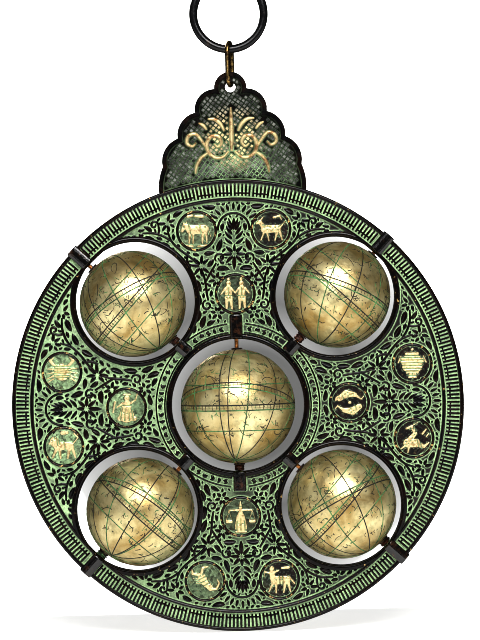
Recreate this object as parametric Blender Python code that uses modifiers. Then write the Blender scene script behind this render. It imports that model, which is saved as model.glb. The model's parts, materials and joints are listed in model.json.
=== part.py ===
"""Wall astrolabe: a cast plate with five turning globes, hung from its throne by a link and a ring.

The frame's origin is the hang point, inside the top of the suspension ring.
+Z is up and the decorated front faces -Y. Lengths are in metres.
"""

import math

import bmesh
import bpy
from mathutils import Vector

MM = 0.001
GAP = 0.3 * MM  # room between neighbouring round faces
SEAM = 0.1 * MM  # room between flat faces that touch

# Suspension ring and shackle link
RING_RADIUS = 28.35 * MM
RING_WIRE = 3.25 * MM
LINK_WIRE = 1.8 * MM
LINK_BEND = 8.5 * MM
LINK_HEIGHT = 34.2 * MM
LINK_TWIST = math.radians(12)

# Throne: the lobed plate above the disc, measured from the disc's centre
THRONE_BACK = -2.5 * MM
THRONE_FIELD = 2.5 * MM
THRONE_BORDER = 3.7 * MM
BORDER_WIDTH = 3.5 * MM
APEX_TOP = 266.4 * MM
NOTCHES = [(13.0 * MM, 252.9 * MM), (28.8 * MM, 234.4 * MM), (43.1 * MM, 214.0 * MM), (55.5 * MM, 191.4 * MM)]
LOBE_BULGES = [5.4 * MM, 4.7 * MM, 4.8 * MM, 1.4 * MM]
THRONE_FOOT = 58.8 * MM
HOLE_CENTRE = 254.3 * MM
HOLE_RADIUS = 4.3 * MM
HOLE_PLAY = 1.4 * MM  # how far the hole's centre hangs below the link's wire

# Disc of the plate, with its raised rim, limb ring and mouldings
DISC_RADIUS = 180.0 * MM
DISC_BACK = -3.5 * MM
GROUND = 3.5 * MM
RIM_INNER = 177.5 * MM
RIM_TOP = 5.0 * MM
LIMB_INNER = 163.2 * MM
LIMB_OUTER = 166.0 * MM
LIMB_TOP = 4.9 * MM
MOULDING_WIDTH = 4.2 * MM
MOULDING_TOP = 4.8 * MM
MEDALLION_RADIUS = 16.3 * MM
MEDALLION_RIM = 2.0 * MM
MEDALLION_TOP = 4.6 * MM
MEDALLION_FLOOR = 3.7 * MM
OUTER_MEDALLIONS = 143.0 * MM
INNER_MEDALLIONS = 89.0 * MM
MEDALLION_SPREAD = 12.0

# Globes, axles and what holds them
WALL = 1.5 * MM
AXLE_RADIUS = 1.6 * MM
WASHER_RADIUS = 4.6 * MM
WASHER_THICKNESS = 1.0 * MM
SADDLE_WIDTH = 10.4 * MM
SADDLE_HEIGHT = 4.2 * MM
SADDLE_RIM = 181.8 * MM  # how far out a rim saddle's lip reaches
CHANNEL_DEPTH = AXLE_RADIUS + GAP
TONGUE_WIDTH = 3.2 * MM

# Each globe: its opening's centre (radius, degrees) and radius, its own radius,
# where its axle crosses the inner and the outer web (radius, degrees), and its collar's end and style
SITES = {
    "upper_left": ((116.6, 133.4, 47.7), 42.4, ((60, 132.2), (172, 135.6)), ("hub", "plain")),
    "upper_right": ((116.7, 47.0, 47.6), 42.4, ((60, 45.9), (172, 46.9)), ("hub", "plain")),
    "lower_left": ((116.2, 224.8, 48.3), 43.2, ((60, 225.8), (172, 226.3)), ("rim", "ribbed")),
    "lower_right": ((115.0, 314.6, 48.0), 43.4, ((60, 312.4), (172, 315.9)), ("rim", "barrel")),
    "centre": ((0.0, 0.0, 53.0), 45.6, ((62, 270.0), (62, 90.0)), ("hub", "plain")),
}
# The centre of each globe along its axle, from the point nearest its opening's centre
GLOBE_SHIFT = {"upper_left": 0.3, "upper_right": 2.0, "lower_left": -0.6, "lower_right": -0.2, "centre": -1.0}
WEB_SADDLE = 11.6 * MM
CENTRE_SADDLES = {"hub": 15.6 * MM, "rim": 19.4 * MM}

COLOURS = {
    "bronze": ((0.045, 0.050, 0.036, 1), 0.9, 0.48),
    "globe_brass": ((0.50, 0.41, 0.20, 1), 1.0, 0.36),
    "black_iron": ((0.012, 0.012, 0.014, 1), 0.8, 0.28),
    "link_brass": ((0.42, 0.30, 0.12, 1), 1.0, 0.30),
    "copper_rod": ((0.55, 0.26, 0.10, 1), 1.0, 0.38),
    "saddle_black": ((0.020, 0.018, 0.017, 1), 0.8, 0.34),
    "collar_brown": ((0.14, 0.055, 0.028, 1), 0.6, 0.45),
}


def clear_scene():
    for obj in list(bpy.data.objects):
        bpy.data.objects.remove(obj, do_unlink=True)


def new_collection(name, hidden=False):
    collection = bpy.data.collections.new(name)
    bpy.context.scene.collection.children.link(collection)
    collection.hide_render = hidden
    return collection


def add_object(name, data, parent=None, material=None):
    """A node in the object's collection, or a cutter where no material is given."""
    obj = bpy.data.objects.new(name, data)
    (PARTS if material else CUTTERS).objects.link(obj)
    obj.parent = parent
    if material:
        data.materials.append(material_for(name, material))
    else:
        obj.hide_render = True
        obj.display_type = "WIRE"
    return obj


def add_empty(name, parent=None, location=(0, 0, 0), rotation=(0, 0, 0)):
    empty = bpy.data.objects.new(name, None)
    PARTS.objects.link(empty)
    empty.parent = parent
    empty.location = location
    empty.rotation_euler = rotation
    empty.empty_display_size = 0.02
    return empty


def material_for(name, finish):
    colour, metallic, roughness = COLOURS[finish]
    material = bpy.data.materials.new(name)
    material.use_nodes = True
    shader = material.node_tree.nodes["Principled BSDF"]
    shader.inputs["Base Color"].default_value = colour
    shader.inputs["Metallic"].default_value = metallic
    shader.inputs["Roughness"].default_value = roughness
    material.diffuse_color = colour
    return material


def mesh_from(bm, name):
    bmesh.ops.recalc_face_normals(bm, faces=bm.faces)
    mesh = bpy.data.meshes.new(name)
    bm.to_mesh(mesh)
    bm.free()
    return mesh


def cylinder_into(bm, radius, bottom, top, centre=(0, 0), segments=48):
    made = bmesh.ops.create_cone(
        bm, cap_ends=True, segments=segments, radius1=radius, radius2=radius, depth=top - bottom
    )
    bmesh.ops.translate(bm, verts=made["verts"], vec=(*centre, (top + bottom) / 2))


def box_into(bm, low, high):
    made = bmesh.ops.create_cube(bm, size=1)
    size = Vector(high) - Vector(low)
    bmesh.ops.scale(bm, verts=made["verts"], vec=size)
    bmesh.ops.translate(bm, verts=made["verts"], vec=(Vector(low) + Vector(high)) / 2)
    return made["verts"]


def prism_mesh(name, outline, bottom, top):
    """A flat outline, raised from bottom to top."""
    bm = bmesh.new()
    face = bm.faces.new([bm.verts.new((x, y, bottom)) for x, y in outline])
    raised = bmesh.ops.extrude_face_region(bm, geom=[face])
    verts = [item for item in raised["geom"] if isinstance(item, bmesh.types.BMVert)]
    bmesh.ops.translate(bm, verts=verts, vec=(0, 0, top - bottom))
    return mesh_from(bm, name)


def turned_mesh(name, profile, closed=True):
    """The edges that a Screw modifier turns round the local Z axis."""
    count = len(profile)
    edges = [(i, (i + 1) % count) for i in range(count if closed else count - 1)]
    mesh = bpy.data.meshes.new(name)
    mesh.from_pydata([(radius, 0, height) for radius, height in profile], edges, [])
    return mesh


def add_screw(obj, steps):
    screw = obj.modifiers.new("turn", "SCREW")
    screw.axis = "Z"
    screw.steps = steps
    screw.render_steps = steps
    screw.use_merge_vertices = True
    screw.merge_threshold = 0.00001


def add_boolean(obj, cutter, operation):
    boolean = obj.modifiers.new(cutter.name, "BOOLEAN")
    boolean.solver = "EXACT"
    boolean.operation = operation
    boolean.object = cutter


def add_bevel(obj, width, segments, angle=40):
    bevel = obj.modifiers.new("bevel", "BEVEL")
    bevel.width = width
    bevel.segments = segments
    bevel.limit_method = "ANGLE"
    bevel.angle_limit = math.radians(angle)


def polar(radius, degrees):
    angle = math.radians(degrees)
    return Vector((radius * math.cos(angle), radius * math.sin(angle)))


def arc_points(centre, radius, start, end, count):
    """count points from angle start to angle end, both in radians, without the last one."""
    steps = [start + (end - start) * i / count for i in range(count)]
    return [(centre[0] + radius * math.cos(a), centre[1] + radius * math.sin(a)) for a in steps]


# Suspension


def tube_mesh(name, path, wire, resolution):
    """A closed round wire along a ring of points."""
    curve = bpy.data.curves.new(name, "CURVE")
    curve.dimensions = "3D"
    curve.bevel_depth = wire
    curve.bevel_resolution = resolution
    spline = curve.splines.new("POLY")
    spline.points.add(len(path) - 1)
    for point, place in zip(spline.points, path):
        point.co = (*place, 1)
    spline.use_cyclic_u = True
    helper = bpy.data.objects.new(name, curve)
    mesh = bpy.data.meshes.new_from_object(helper)
    bpy.data.objects.remove(helper)
    mesh.materials.clear()
    return mesh


def build_suspension():
    """The ring, the link on its lowest point, and the height at which the link's lower wire lies."""
    ring_centre = -(RING_RADIUS - RING_WIRE)
    ring_path = [(x, 0, z) for x, z in arc_points((0, ring_centre), RING_RADIUS, 0, 2 * math.pi, 48)]
    add_object("suspension_ring", tube_mesh("suspension_ring", ring_path, RING_WIRE, 3), None, "black_iron")

    pivot = ring_centre - RING_RADIUS
    top = RING_WIRE + GAP + LINK_WIRE
    upper = arc_points((0, top - LINK_BEND), LINK_BEND, 0, math.pi, 10)
    upper.append((-LINK_BEND, top - LINK_BEND))
    low_bend = top - LINK_HEIGHT + LINK_BEND
    lower = arc_points((0, low_bend), LINK_BEND, math.pi, 2 * math.pi, 10)
    lower.append((LINK_BEND, low_bend))
    turn = (math.sin(LINK_TWIST), math.cos(LINK_TWIST))
    path = [(u * turn[0], u * turn[1], z) for u, z in upper + lower]
    swing = add_empty("link_swing_axis", None, (0, 0, pivot))
    add_object("shackle_link", tube_mesh("shackle_link", path, LINK_WIRE, 2), swing, "link_brass")
    return pivot + top - LINK_HEIGHT


# Throne


def lobe_circle(start, end, bulge):
    """Centre and radius of the lobe that bulges outwards between two notches."""
    start, end = Vector(start), Vector(end)
    chord = end - start
    radius = (chord.length_squared / 4 + bulge * bulge) / (2 * bulge)
    inward = Vector((chord.y, -chord.x)).normalized()
    return (start + end) / 2 + inward * (radius - bulge), radius


def circles_meet(first, second, outward):
    """Where two lobes' circles cross, on the side that points outwards."""
    (centre, radius), (other, other_radius) = first, second
    gap = other - centre
    along = (gap.length_squared + radius**2 - other_radius**2) / (2 * gap.length)
    side = math.sqrt(radius**2 - along**2)
    ahead = gap.normalized()
    across = Vector((ahead.y, -ahead.x)) * side
    place = centre + ahead * along
    return max(place + across, place - across, key=lambda p: p.dot(outward))


def throne_side(inset):
    """The right-hand outline from the apex down to the foot, set in by inset."""
    apex_centre = (APEX_TOP**2 - NOTCHES[0][1] ** 2 - NOTCHES[0][0] ** 2) / (2 * (APEX_TOP - NOTCHES[0][1]))
    foot_height = math.sqrt(DISC_RADIUS**2 - THRONE_FOOT**2)
    ends = NOTCHES + [(THRONE_FOOT, foot_height)]
    circles = [(Vector((0, apex_centre)), APEX_TOP - apex_centre)]
    for start, end, bulge in zip(ends, ends[1:], LOBE_BULGES):
        centre, radius = lobe_circle(start, end, bulge)
        circles.append((centre, radius))
    circles = [(centre, radius - inset) for centre, radius in circles]
    meets = [circles_meet(a, b, Vector((1, 0.7))) for a, b in zip(circles, circles[1:])]
    meets.append(Vector((THRONE_FOOT - inset, foot_height)))
    points = []
    start = Vector((0, APEX_TOP - inset))
    for (centre, radius), meet in zip(circles, meets):
        start_angle = math.atan2(start.y - centre.y, start.x - centre.x)
        end_angle = math.atan2(meet.y - centre.y, meet.x - centre.x)
        points += arc_points(centre, radius, start_angle, end_angle, 7)
        start = meet
    return points


def mirrored(points):
    """Both sides of an outline that starts on the middle line."""
    return [(-x, y) for x, y in reversed(points[1:])] + points


def build_throne(frame):
    foot_radius = DISC_RADIUS + SEAM
    half_angle = math.asin(THRONE_FOOT / foot_radius)
    foot = arc_points((0, 0), foot_radius, math.pi / 2 - half_angle, math.pi / 2 + half_angle, 24)
    foot.append((-THRONE_FOOT, foot_radius * math.cos(half_angle)))
    outline = mirrored(throne_side(0)) + foot
    throne = add_object("throne", prism_mesh("throne", outline, THRONE_BACK, THRONE_BORDER), frame, "bronze")

    inner = throne_side(BORDER_WIDTH)
    inner.append((THRONE_FOOT - BORDER_WIDTH, foot_radius * 0.85))
    field = prism_mesh("throne_field", mirrored(inner), THRONE_FIELD, THRONE_BORDER + MM)
    add_boolean(throne, add_object("throne_field", field, frame), "DIFFERENCE")
    hole = bmesh.new()
    cylinder_into(hole, HOLE_RADIUS, THRONE_BACK - MM, THRONE_BORDER + MM, (0, HOLE_CENTRE), 24)
    add_boolean(throne, add_object("throne_hole", mesh_from(hole, "throne_hole"), frame), "DIFFERENCE")


# Axles and what rides on them


class Site:
    """One globe's opening, axle and places along it, in the plate's own plane."""

    def __init__(self, name):
        opening, radius, (inner, outer), (self.collar_end, self.collar_style) = SITES[name]
        self.name = name
        self.opening = polar(opening[0], opening[1]) * MM
        self.opening_radius = opening[2] * MM
        self.radius = radius * MM
        start, end = polar(*inner) * MM, polar(*outer) * MM
        self.along = (end - start).normalized()
        nearest = start + self.along * (self.opening - start).dot(self.along)
        self.centre = nearest + self.along * GLOBE_SHIFT[name] * MM

    def edge(self, sign):
        """Distance along the axle from the globe's centre to the opening's wall."""
        offset = self.centre - self.opening
        ahead = offset.dot(self.along) * sign
        aside = offset.length_squared - ahead**2
        return math.sqrt(self.opening_radius**2 - aside) - ahead

    def rim_distance(self, radius):
        """Distance along the axle from the globe's centre to a radius of the disc."""
        ahead = self.centre.dot(self.along)
        aside = self.centre.length_squared - ahead**2
        return math.sqrt(radius**2 - aside) - ahead

    def saddle_span(self, end):
        """Where the saddle at the hub or the rim end starts and stops, counted outwards."""
        edge = self.edge(-1 if end == "hub" else 1)
        if self.name == "centre":
            return edge + GAP, edge + CENTRE_SADDLES[end]
        if end == "hub":
            return edge + GAP, edge + WEB_SADDLE
        return edge + GAP, self.rim_distance(SADDLE_RIM)


def spans(site):
    """Each saddle's end name, direction along the axle, and span."""
    return [("hub", -1, site.saddle_span("hub")), ("rim", 1, site.saddle_span("rim"))]


def has_lip(site, end):
    return end == "rim" and site.name != "centre"


def signed(sign, low, high):
    return (low, high) if sign > 0 else (-high, -low)


def build_saddle(site, end, sign, span, axle_frame):
    """A rounded strap over the axle, with a tongue that keeps the axle in its channel."""
    half = SADDLE_WIDTH / 2
    shoulder = 1.4 * MM
    outline = [(half * math.cos(a), shoulder + (SADDLE_HEIGHT - shoulder) * math.sin(a) ** 0.7)
               for a in [math.pi * i / 10 for i in range(11)]]
    outline = [(half, 0)] + outline + [(-half, 0)]
    low, high = signed(sign, *span)
    name = f"saddle_{site.name}_{end}"
    mesh = prism_mesh(name, [(-GROUND - y, x) for x, y in outline], low, high)
    saddle = add_object(name, mesh, axle_frame, "saddle_black")
    add_bevel(saddle, 0.8 * MM, 2, 60)

    bm = bmesh.new()
    inset = 2.0 * MM
    tongue_end = span[1] - (3.4 * MM if has_lip(site, end) else inset)
    low, high = signed(sign, span[0] + inset, tongue_end)
    box_into(bm, (-GROUND - MM, -TONGUE_WIDTH / 2, low), (-AXLE_RADIUS - GAP, TONGUE_WIDTH / 2, high))
    tongue = add_object(f"tongue_{site.name}_{end}", mesh_from(bm, "tongue"), axle_frame)
    add_boolean(saddle, tongue, "UNION")
    if has_lip(site, end):
        bm = bmesh.new()
        low, high = signed(sign, site.rim_distance(DISC_RADIUS) + GAP, span[1])
        box_into(bm, (-GROUND - MM, -half + 0.8 * MM, low), (2.2 * MM, half - 0.8 * MM, high))
        lip = add_object(f"lip_{site.name}", mesh_from(bm, "lip"), axle_frame)
        add_boolean(saddle, lip, "UNION")


def axle_ends(site):
    """The ends of the rod, a little inside the far ends of its saddles."""
    hub, rim = site.saddle_span("hub")[1], site.saddle_span("rim")[1]
    rim_end = rim - 3.4 * MM if has_lip(site, "rim") else rim - 1.6 * MM
    return -(hub - 1.6 * MM), rim_end


def build_axle(site, axle_frame):
    low, high = axle_ends(site)
    bm = bmesh.new()
    cylinder_into(bm, AXLE_RADIUS, low, high, segments=16)
    add_object(f"axle_{site.name}", mesh_from(bm, "axle"), axle_frame, "copper_rod")


def half_profile(radius, sign):
    """The wall of a half globe from its seam to the hole at its pole and back inside."""
    bore = AXLE_RADIUS + GAP
    seam = SEAM / 2

    def arc(size, count):
        first = math.asin(seam / size)
        last = math.acos(bore / size)
        angles = [first + (last - first) * i / count for i in range(count + 1)]
        return [(size * math.cos(a), size * math.sin(a) * sign) for a in angles]

    loop = arc(radius, 6) + arc(radius - WALL, 3)[::-1]
    return loop[::-1] if sign > 0 else loop


def build_globe(site, axle_frame):
    names = ("top", "bottom") if site.name == "centre" else ("rim", "hub")
    for end, sign in zip(names, (1, -1)):
        name = f"globe_{site.name}_{end}_half"
        mesh = turned_mesh(name, half_profile(site.radius, sign))
        add_screw(add_object(name, mesh, axle_frame, "globe_brass"), 24)
        low, high = signed(sign, site.radius + SEAM, site.radius + SEAM + WASHER_THICKNESS)
        bore = AXLE_RADIUS + GAP
        ring = [(WASHER_RADIUS, high), (WASHER_RADIUS, low), (bore, low), (bore, high)]
        name = f"washer_{site.name}_{end}"
        add_screw(add_object(name, turned_mesh(name, ring), axle_frame, "saddle_black"), 14)


COLLAR_STYLES = {
    # Radius at equal steps along the collar's length
    "plain": (3.5, 3.9, 3.9, 3.5),
    "barrel": (3.4, 4.5, 4.7, 4.5, 3.4),
    "ribbed": (3.7, 4.6, 3.9, 4.6, 3.7),
}


def build_collar(site, axle_frame):
    sign = -1 if site.collar_end == "hub" else 1
    start = site.radius + WASHER_THICKNESS + 2 * SEAM
    end = site.edge(sign) - 2 * GAP
    radii = COLLAR_STYLES[site.collar_style]
    places = [start + (end - start) * i / (len(radii) - 1) for i in range(len(radii))]
    outside = [(radius * MM, place * sign) for radius, place in zip(radii, places)]
    bore = AXLE_RADIUS + GAP
    loop = outside + [(bore, end * sign), (bore, start * sign)]
    name = f"collar_{site.name}"
    mesh = turned_mesh(name, loop[::-1] if sign > 0 else loop)
    add_screw(add_object(name, mesh, axle_frame, "collar_brown"), 14)


# Plate

DISC_STEPS = 96
OPENING_STEPS = 48
MEDALLION_STEPS = 20


def medallion_centres():
    """Two medallions near the limb and one near the hub, on each of the four cardinal lines."""
    for quarter in (0, 90, 180, 270):
        yield polar(INNER_MEDALLIONS, quarter)
        for side in (-MEDALLION_SPREAD, MEDALLION_SPREAD):
            yield polar(OUTER_MEDALLIONS, quarter + side)


def disc_profile():
    chamfer = 0.6 * MM
    return [
        (0, GROUND), (LIMB_INNER, GROUND), (LIMB_INNER, LIMB_TOP), (LIMB_OUTER, LIMB_TOP),
        (LIMB_OUTER, GROUND), (RIM_INNER, GROUND), (RIM_INNER, RIM_TOP),
        (DISC_RADIUS - chamfer, RIM_TOP), (DISC_RADIUS, RIM_TOP - chamfer),
        (DISC_RADIUS, DISC_BACK + chamfer), (DISC_RADIUS - chamfer, DISC_BACK), (0, DISC_BACK),
    ]


def relief_cutters(sites, frame):
    """The solids added to the disc, and those cut from it, as one object each."""
    rings, limits, floors, holes = (bmesh.new() for _ in range(4))
    for site in sites:
        outer = site.opening_radius + MOULDING_WIDTH
        cylinder_into(rings, outer, GROUND - MM, MOULDING_TOP, site.opening, OPENING_STEPS)
        cylinder_into(holes, site.opening_radius, DISC_BACK - MM, RIM_TOP + MM, site.opening, OPENING_STEPS)
    for centre in medallion_centres():
        cylinder_into(rings, MEDALLION_RADIUS, GROUND - MM, MEDALLION_TOP, centre, MEDALLION_STEPS)
        cylinder_into(floors, MEDALLION_RADIUS - MEDALLION_RIM, MEDALLION_FLOOR, RIM_TOP + MM, centre, MEDALLION_STEPS)
    cylinder_into(limits, (LIMB_INNER + LIMB_OUTER) / 2, DISC_BACK - MM, RIM_TOP + MM, segments=DISC_STEPS)
    made = {}
    for name, bm in (("relief", rings), ("relief_limit", limits), ("floors", floors), ("openings", holes)):
        made[name] = add_object(name, mesh_from(bm, name), frame)
    add_boolean(made["relief"], made["relief_limit"], "INTERSECT")
    return made


def seat_cutters(site, axle_frame):
    """The channel of one axle, and the seats that its saddles sit in."""
    channels, seats = bmesh.new(), bmesh.new()
    channel_half = TONGUE_WIDTH / 2 + GAP
    seat_half = SADDLE_WIDTH / 2 + GAP
    above = -RIM_TOP - MM
    low_end, high_end = axle_ends(site)
    for end, sign, span in spans(site):
        beyond = 3 * MM if has_lip(site, end) else GAP
        axle_end = abs(low_end if sign < 0 else high_end)
        channel_end = span[1] + beyond if has_lip(site, end) else axle_end + GAP
        low, high = signed(sign, span[0] - 3 * MM, channel_end)
        box_into(channels, (above, -channel_half, low), (CHANNEL_DEPTH, channel_half, high))
        low, high = signed(sign, span[0] - 3 * MM, span[1] + beyond)
        box_into(seats, (above, -seat_half, low), (-GROUND + SEAM, seat_half, high))
    return [
        add_object(f"channels_{site.name}", mesh_from(channels, "channels"), axle_frame),
        add_object(f"seats_{site.name}", mesh_from(seats, "seats"), axle_frame),
    ]


def build_plate(sites, frame, axle_frames):
    plate = add_object("plate", turned_mesh("plate", disc_profile(), closed=False), frame, "bronze")
    add_screw(plate, DISC_STEPS)
    made = relief_cutters(sites, frame)
    add_boolean(plate, made["relief"], "UNION")
    add_boolean(plate, made["floors"], "DIFFERENCE")
    add_boolean(plate, made["openings"], "DIFFERENCE")
    for site in sites:
        for cutter in seat_cutters(site, axle_frames[site.name]):
            add_boolean(plate, cutter, "DIFFERENCE")


def main():
    link_low = build_suspension()
    disc_centre = link_low - HOLE_PLAY - HOLE_CENTRE
    swing = add_empty("plate_swing_axis", None, (0, 0, link_low))
    frame = add_empty("plate_frame", swing, (0, 0, disc_centre - link_low), (math.pi / 2, 0, 0))
    build_throne(frame)
    sites = [Site(name) for name in SITES]
    axle_frames = {}
    for site in sites:
        direction = math.atan2(site.along.y, site.along.x)
        place = (*site.centre, 0)
        axle_frame = add_empty(f"axis_{site.name}", frame, place, (0, math.pi / 2, direction))
        axle_frames[site.name] = axle_frame
        for end, sign, span in spans(site):
            build_saddle(site, end, sign, span, axle_frame)
        build_axle(site, axle_frame)
        build_globe(site, axle_frame)
        build_collar(site, axle_frame)
    build_plate(sites, frame, axle_frames)


clear_scene()
PARTS = new_collection("astrolabe")
CUTTERS = new_collection("cutters", hidden=True)
main()
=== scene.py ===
"""The looks of the astrolabe: relief, engraved globes, patinas, wear, light and camera."""

import functools
import json
import math

import bmesh
import bpy
import numpy as np
from mathutils import Matrix, Vector
from mathutils.bvhtree import BVHTree


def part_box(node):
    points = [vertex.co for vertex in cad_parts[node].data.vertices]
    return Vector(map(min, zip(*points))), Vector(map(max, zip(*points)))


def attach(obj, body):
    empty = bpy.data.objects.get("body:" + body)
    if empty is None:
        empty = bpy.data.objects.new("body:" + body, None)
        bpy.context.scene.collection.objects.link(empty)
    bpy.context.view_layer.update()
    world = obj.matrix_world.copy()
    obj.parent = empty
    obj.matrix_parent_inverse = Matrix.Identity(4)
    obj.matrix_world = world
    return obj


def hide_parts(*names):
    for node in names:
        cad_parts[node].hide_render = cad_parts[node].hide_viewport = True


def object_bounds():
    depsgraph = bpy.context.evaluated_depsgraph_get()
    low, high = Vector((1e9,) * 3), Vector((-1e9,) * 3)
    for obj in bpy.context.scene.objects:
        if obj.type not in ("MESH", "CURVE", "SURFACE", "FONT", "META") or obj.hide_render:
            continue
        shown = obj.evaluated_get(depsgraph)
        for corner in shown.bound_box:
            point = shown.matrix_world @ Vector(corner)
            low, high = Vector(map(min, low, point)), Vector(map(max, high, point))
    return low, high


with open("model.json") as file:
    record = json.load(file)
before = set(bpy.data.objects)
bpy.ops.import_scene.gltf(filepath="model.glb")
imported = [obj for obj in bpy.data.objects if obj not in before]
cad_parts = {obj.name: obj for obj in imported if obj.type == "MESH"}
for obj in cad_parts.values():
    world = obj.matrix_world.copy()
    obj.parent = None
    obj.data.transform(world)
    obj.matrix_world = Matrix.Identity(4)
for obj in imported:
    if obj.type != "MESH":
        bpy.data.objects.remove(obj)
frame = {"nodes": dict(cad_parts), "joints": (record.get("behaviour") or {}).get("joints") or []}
CAD_LOW, CAD_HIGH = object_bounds()

# Shapes are worked out in millimetres. In the plate's own plane x points right, y points up and
# h is the height towards the viewer, all from the middle of the disc.
MM = 0.001
PLATE_LOW, PLATE_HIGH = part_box("plate")
DISC_Z = (PLATE_LOW.z + PLATE_HIGH.z) / 2 / MM

DISC = 180.0
BACK = -3.5
GROUND = 3.5
FLOOR_OF_MEDALLION = 3.7
LIMB = (163.2, 166.0)
HUB_OUTER = 66.0
MEDALLION_BORE = 14.2
FIELD = 2.5
CARDINALS = (0, 90, 180, 270)
OUTER_CIRCLE, INNER_CIRCLE = 143.0, 89.0  # the medallions' middles, eight and four of them
OUTER_TURN = 12.0  # from an arm to an outer medallion, in degrees
BORE = 1.75  # radius of the holes that the axles go through
GLOBES = ("upper_left", "upper_right", "lower_left", "lower_right", "centre")
OPENINGS = {  # radius and angle of the centre, and the opening's own radius
    "upper_left": (116.6, 133.4, 47.7),
    "upper_right": (116.7, 47.0, 47.6),
    "lower_left": (116.2, 224.8, 48.3),
    "lower_right": (115.0, 314.6, 48.0),
    "centre": (0.0, 0.0, 53.0),
}


def polar(radius, degrees):
    return np.array([radius * math.cos(math.radians(degrees)), radius * math.sin(math.radians(degrees))])


# Mesh tools


@functools.lru_cache(maxsize=None)
def skin(rows, columns, loop):
    """Faces of a tube of rows round a path, closed by caps unless the path is a loop."""
    quads, caps = [], []
    for i in range(rows if loop else rows - 1):
        here, ahead = i * columns, (i + 1) % rows * columns
        for k in range(columns):
            other = (k + 1) % columns
            quads.append((here + k, ahead + k, ahead + other, here + other))
    if not loop:
        caps = [tuple(range(columns)), tuple(reversed(range((rows - 1) * columns, rows * columns)))]
    return np.array(quads), caps


class Piece:
    """Gathers closed shells, in millimetres of the row frame, and makes them one object."""

    def __init__(self, name):
        self.name, self.points, self.faces, self.count = name, [], [], 0

    def add(self, points, quads, others=()):
        points = np.asarray(points, float).reshape(-1, 3)
        self.points.append(points)
        if len(quads):
            self.faces += (np.asarray(quads) + self.count).tolist()
        self.faces += [[i + self.count for i in face] for face in others]
        self.count += len(points)

    def make(self, body, material, slot, replaces=(), sharp=38):
        mesh = bpy.data.meshes.new(self.name)
        mesh.from_pydata((np.concatenate(self.points) * MM).tolist(), [], self.faces)
        mesh.validate()
        mesh.shade_smooth()
        mesh.set_sharp_from_angle(angle=math.radians(sharp))
        mesh.materials.append(material)
        obj = bpy.data.objects.new(self.name, mesh)
        bpy.context.scene.collection.objects.link(obj)
        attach(obj, body)
        if replaces:
            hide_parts(*replaces)
        return obj


def on_plate(flat, height):
    """Points of the row frame from points in the plate's plane and their heights."""
    flat, height = np.asarray(flat, float), np.asarray(height, float)
    height = np.broadcast_to(height, flat.shape[:-1])
    return np.stack([flat[..., 0], -height, flat[..., 1] + DISC_Z], -1)


# Profiles across a ridge, from its right foot to its left: place and height as shares.
# A height below zero is in millimetres under the ground.
LEAF = ((-1, -0.3), (-0.72, 0.86), (-0.28, 1.0), (0, 0.62), (0.28, 1.0), (0.72, 0.86), (1, -0.3))
ROUND = ((-1, -0.3), (-0.8, 0.62), (-0.4, 0.93), (0, 1.0), (0.4, 0.93), (0.8, 0.62), (1, -0.3))
BAR = ((-1, -0.3), (-0.86, 0.86), (-0.6, 1.0), (0.6, 1.0), (0.86, 0.86), (1, -0.3))


def ridge(piece, line, half, rise, profile, base=GROUND):
    """A raised ridge along a line in the plate's plane, half as wide as half says at each point."""
    line = np.asarray(line, float)
    ahead = np.gradient(line, axis=0)
    ahead = ahead / np.maximum(np.linalg.norm(ahead, axis=1, keepdims=True), 1e-9)
    left = np.stack([-ahead[:, 1], ahead[:, 0]], 1)
    across, share = np.array(profile).T
    half = np.broadcast_to(np.asarray(half, float), len(line))
    rise = np.broadcast_to(np.asarray(rise, float), len(line))
    flat = line[:, None] + left[:, None] * (half[:, None] * across)[..., None]
    height = base + np.where(share < 0, share, share * rise[:, None])
    piece.add(on_plate(flat, height), *skin(len(line), len(across), False))


def turned(piece, centre, profile, steps, within=None):
    """A ring round a point of the plate, its profile from the outer foot over the top to the inner."""
    angles = np.arange(steps) * 2 * math.pi / steps
    radius, height = np.array(profile).T
    ring = np.stack([np.cos(angles), np.sin(angles)], 1)
    flat = np.asarray(centre)[None, None] + ring[:, None] * radius[None, :, None]
    if within:
        far = np.linalg.norm(flat, axis=-1, keepdims=True)
        flat = flat * np.minimum(1, within / np.maximum(far, 1e-9))
    piece.add(on_plate(flat, height[None]), *skin(steps, len(radius), True))


STEM_STEPS = 14


def smooth_path(points, count):
    """A curve through the points, as Catmull and Rom draw it, in count steps."""
    points = np.asarray(points, float)
    padded = np.concatenate([[2 * points[0] - points[1]], points, [2 * points[-1] - points[-2]]])
    places = np.linspace(0, len(points) - 1, count)
    index = np.minimum(places.astype(int), len(points) - 2)
    t = (places - index)[:, None]
    a, b, c, d = (padded[index + i] for i in range(4))
    return 0.5 * (2 * b + (c - a) * t + (2 * a - 5 * b + 4 * c - d) * t**2 + (3 * b - a - 3 * c + d) * t**3)


def spiral(centre, start_angle, turns, outer, inner):
    """Points that wind in from the outer to the inner radius; a negative turn goes clockwise."""
    t = np.linspace(0, 1, STEM_STEPS)
    angle = math.radians(start_angle) + turns * 2 * math.pi * t
    radius = outer + (inner - outer) * t
    return np.asarray(centre) + np.stack([np.cos(angle), np.sin(angle)], 1) * radius[:, None]


def frame_about(axis):
    """Two directions that make a right-handed frame with the axis."""
    axis = Vector(axis).normalized()
    side = axis.cross(Vector((0, -1, 0)))
    side = side.normalized() if side.length > 1e-6 else Vector((1, 0, 0))
    return np.array(side), np.array(axis.cross(side)), np.array(axis)


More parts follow.
